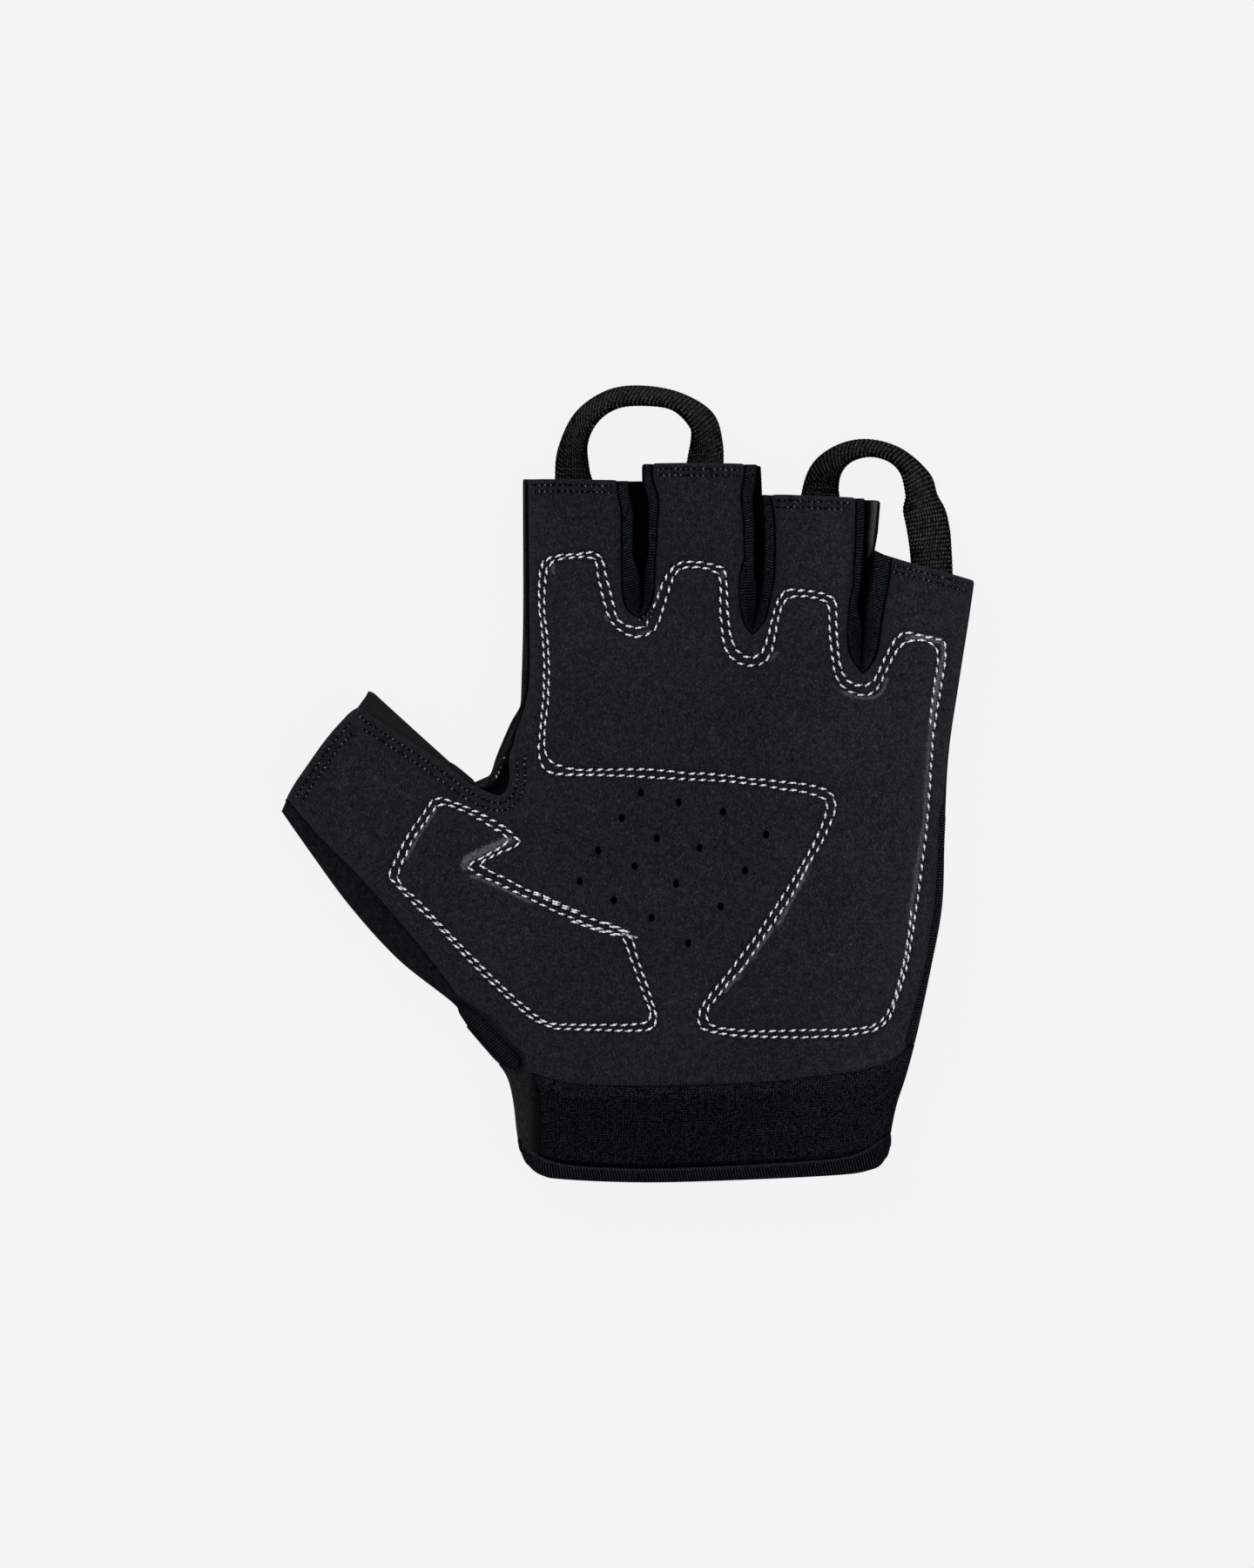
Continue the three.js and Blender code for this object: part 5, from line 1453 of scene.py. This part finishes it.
class GLOVE_OT_stretch_back(bpy.types.Operator):
    """Back of the hand and fingers, curled up at its edges to meet the suede"""

    bl_idname = "glove.stretch_back"
    bl_label = "Stretch back"

    def execute(self, context):
        outline, suede = back_outline(), suede_outline()
        borders = ((SUEDE_INDEX, -0.3), (SUEDE_WEB[:6], -0.3), (SUEDE_RIGHT, 0.4))
        rim = [beside(curve(line), distance) for line, distance in borders]
        plan, tris = plan_mesh(outline, 1.3, rows=rim, inset=0.3)
        outside = np.where(inside(plan, suede), 0, away(plan, [shut(suede)]))
        low_right = (plan[:, 0] > 0) & (plan[:, 1] < -4)
        lip = np.where(low_right, 0.5, 1.7) * smooth(outside, 0.5, 1.0) * (away(plan, OUTER_SIDES) < 1.5)
        rest = smooth(away(plan, [shut(outline)]), 1, 12)
        dents = np.maximum((0.3 * ripple(plan, 22, 11) + 0.1 * ripple(plan, 7, 12)) * rest, 0)
        lower = np.maximum(back_base(plan) + dents, 0.0)
        points, faces = shell(plan, tris, back_inner(plan) + lip + dents, lower, 0.3)
        made = piece("stretch_back", points, faces, stretch_paint(), ("back_panel",))
        seen, z = points[:, :2], points[:, 2]
        # Painted shade inside the slits between the fingers, and a painted shadow line in the gap beside the
        # suede's edge
        slit = away(seen, list(SLIT_LINES.values()))
        indoors = (z > back_base(seen) + 0.4) & (slit < 9)
        beside_it = np.where(inside(seen, suede), 9, away(seen, [shut(suede)]))
        line = 0.95 * (1 - smooth(beside_it, 0.3, 0.6)) * (z > 7)
        note(made, "dim", np.maximum(0.7 * indoors * (1 - smooth(slit, 7, 9)), line))
        return {"FINISHED"}


class GLOVE_OT_fleece_thumb(bpy.types.Operator):
    """Fleece back of the thumb, turned up over both edges of the suede"""

    bl_idname = "glove.fleece_thumb"
    bl_label = "Fleece thumb back"

    def execute(self, context):
        share = np.linspace(0, 1, 90)
        high = at_shares(curve(THUMB_TOP[:6]), share)
        low = at_shares(curve([*THUMB_LOW[:5], (-37.6, -53.8)])[::-1], share)
        suede_high = at_shares(beside(curve(SUEDE_THUMB_TOP[2:8]), 0.1), share)
        suede_low = at_shares(curve(SUEDE_THUMB_LOW[:6])[::-1], share)
        edge = np.linspace(0, 0.12, 9)[1:-1]
        bottom = np.concatenate([edge, np.linspace(0.12, 0.88, 50), np.linspace(0.88, 1, 9)[1:-1]])
        drop = np.linspace(0, 1, 9)
        wall_z = mix(SIDE_TOP, BACK_RIM, drop)
        sections = []
        for j, along_it in enumerate(share):
            bow = WALL_BOW * np.sin(np.pi * drop)[:, None] * unit(low[j] - high[j])
            dish = mix(low[j], high[j], bottom[:, None])
            dish[:, 0] += 2.1 * np.sin(np.pi * bottom) * (1 - along_it)
            section = [
                self.turned_up(suede_low[j], low[j], np.linspace(0, 1, 14)[:-1], suede_low[j]),
                np.column_stack([low[j] + bow, wall_z]),
                np.column_stack([dish, back_base(dish)]),
                np.column_stack([high[j] - bow, wall_z])[::-1],
                self.turned_up(high[j], suede_high[j], np.linspace(0, 1, 12)[1:], suede_high[j]),
            ]
            sections.append(np.concatenate(section))
        grid = np.array(sections)
        size = grid.shape[:2]
        lumps = ripple(grid.reshape(-1, 3)[:, :2], 2.6, 21).reshape(size)
        grid[..., 2] += 0.1 * lumps * (grid[..., 2] > 1)
        uv = measure(np.array([lengths(section) for section in grid]), share[:, None] * 40)
        cloth = paint("thumb_fleece", fleece_cloth, tuple(colours().fleece))
        made = woven("fleece_thumb", grid, uv, cloth, ("thumb_back",))
        strip = np.arange(size[1]) > size[1] - 14
        note(made, "worn_smooth", strip, size)
        # The turned-up strip is made lighter and the rest of the fleece a little darker
        note(made, "dim", np.where(strip, -0.2, 0.1), size)
        face_out(made)
        thicken(made, KNIT)
        return {"FINISHED"}

    def turned_up(self, start, end, shares, suede):
        """The fleece on the palm side at one place of the thumb, drawn in beside the suede."""
        fold = mix(start, end, shares[:, None])
        drawn_in = 0.75 * (1 - smooth(np.linalg.norm(fold - suede, axis=1), 0.2, 1.4))
        return np.column_stack([fold, palm_top(fold) - drawn_in])


class GLOVE_OT_thumb_web(bpy.types.Operator):
    """Web of stretch cloth in the crotch of thumb and index finger, with the dark pocket behind it"""

    bl_idname = "glove.thumb_web"
    bl_label = "Thumb web"

    def execute(self, context):
        outer, inner = along(WEB_OUTER, 70), along(WEB_INNER, 70)
        t = np.linspace(0, 1, 30)
        grid, dims = [], []
        for a, b in zip(outer, inner):
            plan = mix(a, b, t[:, None])
            reach = t * np.linalg.norm(b - a)
            hollow = smooth(reach, 1.5, 2.3)
            ridge = 9.0 + 1.3 * np.sin(np.pi * np.clip(reach / 2.2, 0, 1)) ** 0.8
            grid.append(np.column_stack([plan, ridge - 4.2 * hollow]))
            # Painted light over the web, strongest in its hollow, and a painted shadow line along the suede's
            # edge over its upper part
            line = 1 - smooth(away(plan, [curve(SUEDE_WEB)]), 0.4, 0.8)
            dims.append(mix(-1.4 * hollow - 0.4 * (1 - hollow), 0.95, line * (plan[:, 1] > 5.5)))
        uv = measure(t * 4, np.linspace(0, 22, len(outer))[:, None])
        cloth = stretch_paint()
        made = woven("thumb_web", np.array(grid), uv, cloth, ("thumb_gusset",))
        note(made, "dim", dims)
        face_up(made)
        thicken(made, 1.0)
        ridge = outer + unit(inner - outer) * 1.5
        rows = [ridge[(ridge[:, 1] < 6.6) & (ridge[:, 1] > 0.9)]]
        sew("web_stitches", rows, [made], worn_thread(), "stretch_fabric", 1.1, 1.0, 0.24, 0.2, seed=12)
        return {"FINISHED"}


def wrist_section(top_line, top_lift=0.0):
    """Closed section of the wrist along a line across the palm side: up, over, down and back."""
    over = at_shares(top_line, np.linspace(0, 1, WRIST_FRONT))
    drop = np.linspace(0, 1, WRIST_SIDE + 2)[1:-1]
    bow = WALL_BOW * np.sin(np.pi * drop)
    z_side = mix(SIDE_TOP + top_lift, BACK_RIM, drop)
    down, up = (
        np.column_stack([end[0] + sign * bow, np.full(WRIST_SIDE, end[1]), z_side])
        for end, sign in ((over[-1], 1), (over[0], -1))
    )
    back = at_shares(top_line, np.linspace(1, 0, WRIST_BACK))
    low = np.column_stack([back, np.maximum(back_base(back), 0)])
    return np.concatenate([np.column_stack([over, palm_top(over) + top_lift]), down, low, up[::-1]])


class GLOVE_OT_elastic_cuff(bpy.types.Operator):
    """Elastic knit cuff, with the jersey of the back running round to the palm at its left"""

    bl_idname = "glove.elastic_cuff"
    bl_label = "Elastic cuff"

    def execute(self, context):
        far = mix(along(BINDING_TOP, 200), along(CUFF_MOUTH, 200), 0.3)
        v = np.linspace(0, 1, 46)
        depth = v * CUFF_LENGTH
        shares = np.linspace(0, 1, 120)
        a, b = at_shares(curve(CUFF_SEAM) + (0, 0.25), shares), at_shares(far, shares)
        sides = [along(side, 200) for side in (WRIST_LEFT, PINKY_SIDE)]
        sections = []
        for j in range(len(v)):
            line = mix(a, b, v[j])
            for end, side, weight in zip((0, -1), sides, ((1 - shares) ** 3, shares**3)):
                line[:, 0] += (np.interp(-line[end, 1], -side[:, 1], side[:, 0]) - line[end, 0]) * weight
            sections.append(wrist_section(line, -0.45 * (1 - smooth(depth[j], 0, 1.2))))
        grid = np.array(sections)
        front = grid[:, :WRIST_FRONT]
        front[..., 2] += 0.16 * ripple(front.reshape(-1, 3)[:, :2], 9, 31).reshape(front.shape[:2])
        middle = grid[len(v) // 2]
        uv = measure(lengths(middle), depth[:, None])
        split = int(np.argmax(middle[:WRIST_FRONT, 0] > -19.6))
        order = np.arange(-JERSEY_COLUMNS, split + 1)
        side = woven("cuff_side", grid[:, order], uv[:, : len(order)], stretch_paint())
        # Painted light along the jersey's outer edge where it turns round, painted shade further in; it is
        # also a little darker near the palm
        shade = -0.2 + 1.05 * smooth(grid[:, order, 0], -23.6, -20.4)
        note(side, "dim", np.minimum(shade + 0.1 * (1 - smooth(depth, 6, 10))[:, None], 0.85))
        columns = slice(split, 1 - JERSEY_COLUMNS)
        band_grid = grid[:, columns]
        band_grid[:, :6, 2] += 0.28
        knit = paint("cuff_knit", knit_cloth, tuple(colours().elastic))
        band = woven("cuff_knit_band", band_grid, uv[:, columns], knit, ("cuff_band",))
        # Painted shade just under the suede's edge and just above the binding, with a lighter band a little
        # below the top; the knit is also made lighter towards the little finger
        rim = 0.3 - 0.8 * smooth(depth, 0.3, 1) + 0.5 * smooth(depth, 1.6, 4)
        rim = rim + 0.85 * smooth(depth, 15.9, 16.7)
        note(band, "dim", rim[:, None] - 0.4 * smooth(band_grid[..., 0], 15, 60))
        for made in (side, band):
            face_out(made)
            thicken(made, KNIT)
        return {"FINISHED"}


class GLOVE_OT_cuff_binding(bpy.types.Operator):
    """Ribbed binding folded over the mouth of the cuff"""

    bl_idname = "glove.cuff_binding"
    bl_label = "Cuff binding"

    def execute(self, context):
        top, mouth = (shut(wrist_section(curve(line), 0.1)) for line in (BINDING_TOP, CUFF_MOUTH))
        pitch = sizes().rib_pitch
        run = lengths((top + mouth) / 2)
        count = int(round(run[-1] / pitch)) * 5
        where = np.linspace(0, 1, count + 1)[:-1] * run[-1]
        lines = (top, mouth)
        a, b = (np.stack([np.interp(where, run, p[:, k]) for k in range(3)], axis=1) for p in lines)
        forward = unit(np.roll(a + b, -3, axis=0) - np.roll(a + b, 3, axis=0))
        wide = np.linalg.norm(b - a, axis=1, keepdims=True)
        down = (b - a) / wide
        outward = unit(np.cross(down, forward))
        outward *= np.sign((outward * (a - a.mean(0)))[:, 2].sum())
        turn = full_turn(18)
        shape_x = np.sign(np.cos(turn)) * np.abs(np.cos(turn)) ** 0.55
        shape_y = np.sign(np.sin(turn)) * np.abs(np.sin(turn)) ** 0.8
        rib = np.abs(np.sin(np.pi * where / pitch))[:, None]
        level = np.linalg.norm(outward[:, :2], axis=1, keepdims=True)
        centre = (a + b) / 2 - outward * (0.75 + 0.55 * level)
        reach = shape_y[None] * (1.2 + 0.2 * rib)
        grid = centre[:, None] + down[:, None] * (shape_x[None] * (wide / 2 + 0.15))[..., None]
        grid = grid + outward[:, None] * reach[..., None]
        uv = measure(where[:, None], np.arange(len(turn)) * 0.5)
        shade = 1.05 * np.array(colours().binding)
        cloth = rib_paint("ribbed_binding", shade, pitch, bead=0.2, sharp=1.6)
        replaces = ("cuff_binding",)
        made = woven("ribbed_binding", grid, uv, cloth, replaces, wrap=True, tube=True)
        face_out(made)
        line = evenly(curve(BINDING_TOP) - (0, 0.35), 1.0)[2:-2]
        pale = paint("dull_thread", thread, tuple(np.array(colours().pale_thread) * (0.32, 0.42, 0.48)), 0.7)
        sew("binding_zigzag", [line], [made], pale, "elastic_knit", 0.4, 1.1, 0.13, 0.08, zigzag=0.55, seed=5)
        return {"FINISHED"}


class GLOVE_OT_side_roll(bpy.types.Operator):
    """Short ribbed roll of elastic at the wrist, thumb side"""

    bl_idname = "glove.side_roll"
    bl_label = "Ribbed side roll"

    def execute(self, context):
        inner, outer = along(ROLL_INNER, 260), along(ROLL_OUTER, 260)
        centre, across = (inner + outer) / 2, unit(outer - inner)
        half = np.linalg.norm(outer - inner, axis=1) / 2
        run = lengths(centre)
        near = np.minimum(np.minimum(run / 2.6, (run[-1] - run) / 1.4), 1)
        ends = np.sqrt(np.clip(1 - (1 - near) ** 2, 0, 1))
        turn = full_turn(24)
        rib = 1 + 0.07 * np.abs(np.sin(np.pi * run / ROLL_RIB))[:, None]
        wide = np.maximum((half - 0.05) * ends, 0.02)[:, None] * np.cos(turn)[None] * rib
        tall = np.maximum(1.9 * ends, 0.02)[:, None] * np.sin(turn)[None] * rib
        z = palm_top(centre)[:, None] + mix(-0.2, 0.7, smooth(run, 12, 19))[:, None] + tall
        shade = 1.15 * np.array(colours().binding)
        cloth = rib_paint("ribbed_roll", shade, ROLL_RIB, slant=0.25, contrast=0.75)
        made = roll("side_roll", centre, across, wide, z, 0.5, cloth, ("side_binding",))
        # Painted shade down both sides of the roll
        note(made, "dim", 0.7 * np.abs(np.cos(turn)) ** 3, wide.shape)
        return {"FINISHED"}


class GLOVE_OT_side_piping(bpy.types.Operator):
    """Thin overlocked edge along the suede's outer side, towards the wrist"""

    bl_idname = "glove.side_piping"
    bl_label = "Overlocked side edge"

    def execute(self, context):
        edge = evenly(curve(SUEDE_RIGHT), 0.16)
        edge = edge[(edge[:, 1] < -4) & (edge[:, 1] > -61.5)]
        line = beside(edge, 0.28)
        run = lengths(line)
        turn = full_turn(10)
        taper = np.minimum(1, np.minimum(run, run[-1] - run) / 4 + 0.05)
        radius = 0.62 * taper * (1 + 0.2 * np.abs(np.sin(np.pi * run / KNIT_RIB)))
        wide = radius[:, None] * np.cos(turn)[None]
        z = palm_top(edge)[:, None] - 0.1 + radius[:, None] * np.sin(turn)[None] * 1.1
        cloth = bpy.data.materials["fourchette_rib"]
        roll("side_overlock", line, beside(line, 1.0) - line, wide, z, 0.3, cloth)
        return {"FINISHED"}


class GLOVE_OT_pull_loops(bpy.types.Operator):
    """Two webbing loops at the fingertips, with their cross ribs and bar rows at the feet"""

    bl_idname = "glove.pull_loops"
    bl_label = "Pull loops"

    def execute(self, context):
        tapes = [self.tape(name) for name in LOOPS]
        pale = paint("pale_thread", thread, tuple(colours().pale_thread), 0.7)
        rows = [np.array(row, float) for row in BAR_ROWS]
        sew("loop_bar_stitches", rows, tapes, pale, "webbing", 0.75, 0.62, 0.13, 0.06, seed=13)
        return {"FINISHED"}

    def tape(self, name):
        """One loop, from the two edges of its webbing."""
        look = {"ply": 0.66, "slant": 0.2, "contrast": 1.17, "bead": 0.85, "sharp": 3.0, "rough": 2.2}
        cloth = rib_paint("loop_tape", colours().webbing, TAPE_RIB, **look)
        share = np.linspace(0, 1, 640)
        a, b = (at_shares(curve(edge), share) for edge in LOOPS[name])
        t = np.linspace(0, 1, 17)
        run = lengths((a + b) / 2)
        across = np.linalg.norm(b - a, axis=1)[:, None] * t[None]
        lean = np.interp(share, (0, 0.3, 0.6, 1), TAPE_LEAN[name])[:, None]
        laid = run[:, None] + lean * (across - across[:, -1:] / 2)
        face = unit(np.cross(b - a, np.gradient((a + b) / 2, axis=0)))
        face *= np.where(face[:, 2:] < 0, -1, 1)
        rib = np.abs(np.sin(np.pi * laid / TAPE_RIB)) * np.sin(np.pi * t)[None] ** 0.5
        round_edge = 0.3 * (1 - np.sin(np.pi * t) ** 0.3)[None]
        grid = a[:, None] + (b - a)[:, None] * t[None, :, None]
        grid = grid + face[:, None] * (0.26 * rib - round_edge)[..., None]
        uv = measure(laid, across)
        made = woven(f"pull_loop_{name}_tape", grid, uv, cloth, (f"pull_loop_{name}",))
        dim = np.interp(share, (0, 0.2, 0.35, 1), TAPE_DIM)[:, None]
        # Painted shade in the creases
        for x, y, wide in TAPE_FOLDS:
            dim = np.maximum(dim, 0.75 * bell(np.hypot(grid[..., 0] - x, grid[..., 1] - y), wide))
        note(made, "dim", dim, grid.shape[:2])
        face_up(made)
        thicken(made, TAPE, 0.0)
        return made


class GLOVE_OT_white_seams(bpy.types.Operator):
    """Double rows of white stitches round the two pads"""

    bl_idname = "glove.white_seams"
    bl_label = "White seams"

    def execute(self, context):
        size = sizes()
        cloth = [bpy.data.objects["suede_palm"]]
        white = paint("white_thread", thread, tuple(colours().white_thread), 0.7)
        shape = (size.stitch_pitch, size.stitch_length, size.thread_radius, 0.16)
        sew("palm_pad_stitches", PAD_SEAMS[:2], cloth, white, "suede", *shape, seed=7, sunk=SUNK)
        rows = [*PAD_SEAMS[2:], *(curve(row) for row in SEWN_TWICE)]
        sew("thumb_pad_stitches", rows, cloth, white, "suede", *shape, seed=8)
        shape = (1.0, 1.2, size.thread_radius * 1.2, 0.2)
        sew("thread_end", [curve(LOOSE_END)], cloth, worn_thread(), "suede", *shape, seed=14)
        return {"FINISHED"}


class GLOVE_OT_black_seams(bpy.types.Operator):
    """Black double rows along the hems of the fingers and the thumb"""

    bl_idname = "glove.black_seams"
    bl_label = "Black hem seams"

    def execute(self, context):
        cloth = [bpy.data.objects["suede_palm"]]
        sew("hem_stitches", hem_rows(), cloth, black_thread(), "suede", 1.3, 1.4, 0.28, 0.13, seed=9)
        return {"FINISHED"}


class GLOVE_OT_stage(bpy.types.Operator):
    """Pale floor, soft studio light and a camera straight above"""

    bl_idname = "glove.stage"
    bl_label = "Floor, light and camera"

    def execute(self, context):
        scene = bpy.context.scene
        bpy.ops.object.select_all(action="DESELECT")
        bpy.ops.mesh.primitive_circle_add(vertices=96, radius=6, fill_type="NGON", location=(0, 0, -0.0002))
        floor = bpy.context.object
        floor.name = "floor"
        paper = bpy.data.materials.new("pale_floor")
        paper.use_nodes = True
        shader = paper.node_tree.nodes["Principled BSDF"]
        shader.inputs["Base Color"].default_value = (0.02, 0.02, 0.02, 1)
        shader.inputs["Roughness"].default_value = 0.9
        shader.inputs["Specular IOR Level"].default_value = 0.0
        shader.inputs["Emission Color"].default_value = (1, 1, 1, 1)
        shader.inputs["Emission Strength"].default_value = 0.878
        floor.data.materials.append(paper)
        world = bpy.data.worlds.new("soft_room")
        world.use_nodes = True
        sky = world.node_tree.nodes["Background"]
        sky.inputs["Color"].default_value = (1, 1, 1, 1)
        sky.inputs["Strength"].default_value = 0.75
        scene.world = world
        for name, place, energy, size in (
            ("key_softbox", (-0.9, 1.1, 1.5), 14, 1.0),
            ("fill_softbox", (1.2, -0.6, 1.4), 5, 1.2),
        ):
            bpy.ops.object.light_add(type="AREA", location=place)
            light = bpy.context.object
            light.name = name
            light.data.energy = energy
            light.data.size = size
            light.rotation_euler = Vector(place).to_track_quat("Z", "Y").to_euler()
        scene.view_settings.view_transform = "Standard"
        distance, frame_height = 1.8, 0.36
        bpy.ops.object.camera_add(location=(-0.00005, -0.0002, distance), rotation=(0, 0, 0))
        camera = bpy.context.object
        camera.data.sensor_width = 36
        camera.data.lens = 36 * (distance - 0.012) / frame_height
        camera.data.clip_start = 0.01
        scene.camera = camera
        return {"FINISHED"}


OPERATORS = (
    GLOVE_OT_stage,
    GLOVE_OT_suede_palm,
    GLOVE_OT_foam_pads,
    GLOVE_OT_fourchettes,
    GLOVE_OT_stretch_back,
    GLOVE_OT_fleece_thumb,
    GLOVE_OT_thumb_web,
    GLOVE_OT_elastic_cuff,
    GLOVE_OT_cuff_binding,
    GLOVE_OT_side_roll,
    GLOVE_OT_side_piping,
    GLOVE_OT_pull_loops,
    GLOVE_OT_white_seams,
    GLOVE_OT_black_seams,
)


class GLOVE_PT_panel(bpy.types.Panel):
    """The glove's pieces, sizes and colours"""

    bl_label = "Cycling glove"
    bl_idname = "GLOVE_PT_panel"
    bl_space_type = "VIEW_3D"
    bl_region_type = "UI"
    bl_category = "Glove"

    def draw(self, context):
        column = self.layout.column()
        for group in (context.scene.glove_sizes, context.scene.glove_colours):
            for name in group.__annotations__:
                column.prop(group, name)
        for operator in OPERATORS:
            column.operator(operator.bl_idname)


CLASSES = (GloveSizes, GloveColours, *OPERATORS, GLOVE_PT_panel)


def register():
    for made in CLASSES:
        bpy.utils.register_class(made)
    bpy.types.Scene.glove_sizes = bpy.props.PointerProperty(type=GloveSizes)
    bpy.types.Scene.glove_colours = bpy.props.PointerProperty(type=GloveColours)


def unregister():
    del bpy.types.Scene.glove_colours
    del bpy.types.Scene.glove_sizes
    for made in reversed(CLASSES):
        bpy.utils.unregister_class(made)


def main():
    register()
    bpy.ops.glove.stage()
    bpy.ops.glove.suede_palm()
    bpy.ops.glove.foam_pads()
    bpy.ops.glove.fourchettes()
    bpy.ops.glove.stretch_back()
    bpy.ops.glove.fleece_thumb()
    bpy.ops.glove.thumb_web()
    bpy.ops.glove.elastic_cuff()
    bpy.ops.glove.cuff_binding()
    bpy.ops.glove.side_roll()
    bpy.ops.glove.side_piping()
    bpy.ops.glove.pull_loops()
    bpy.ops.glove.white_seams()
    bpy.ops.glove.black_seams()


if __name__ == "__main__":
    main()
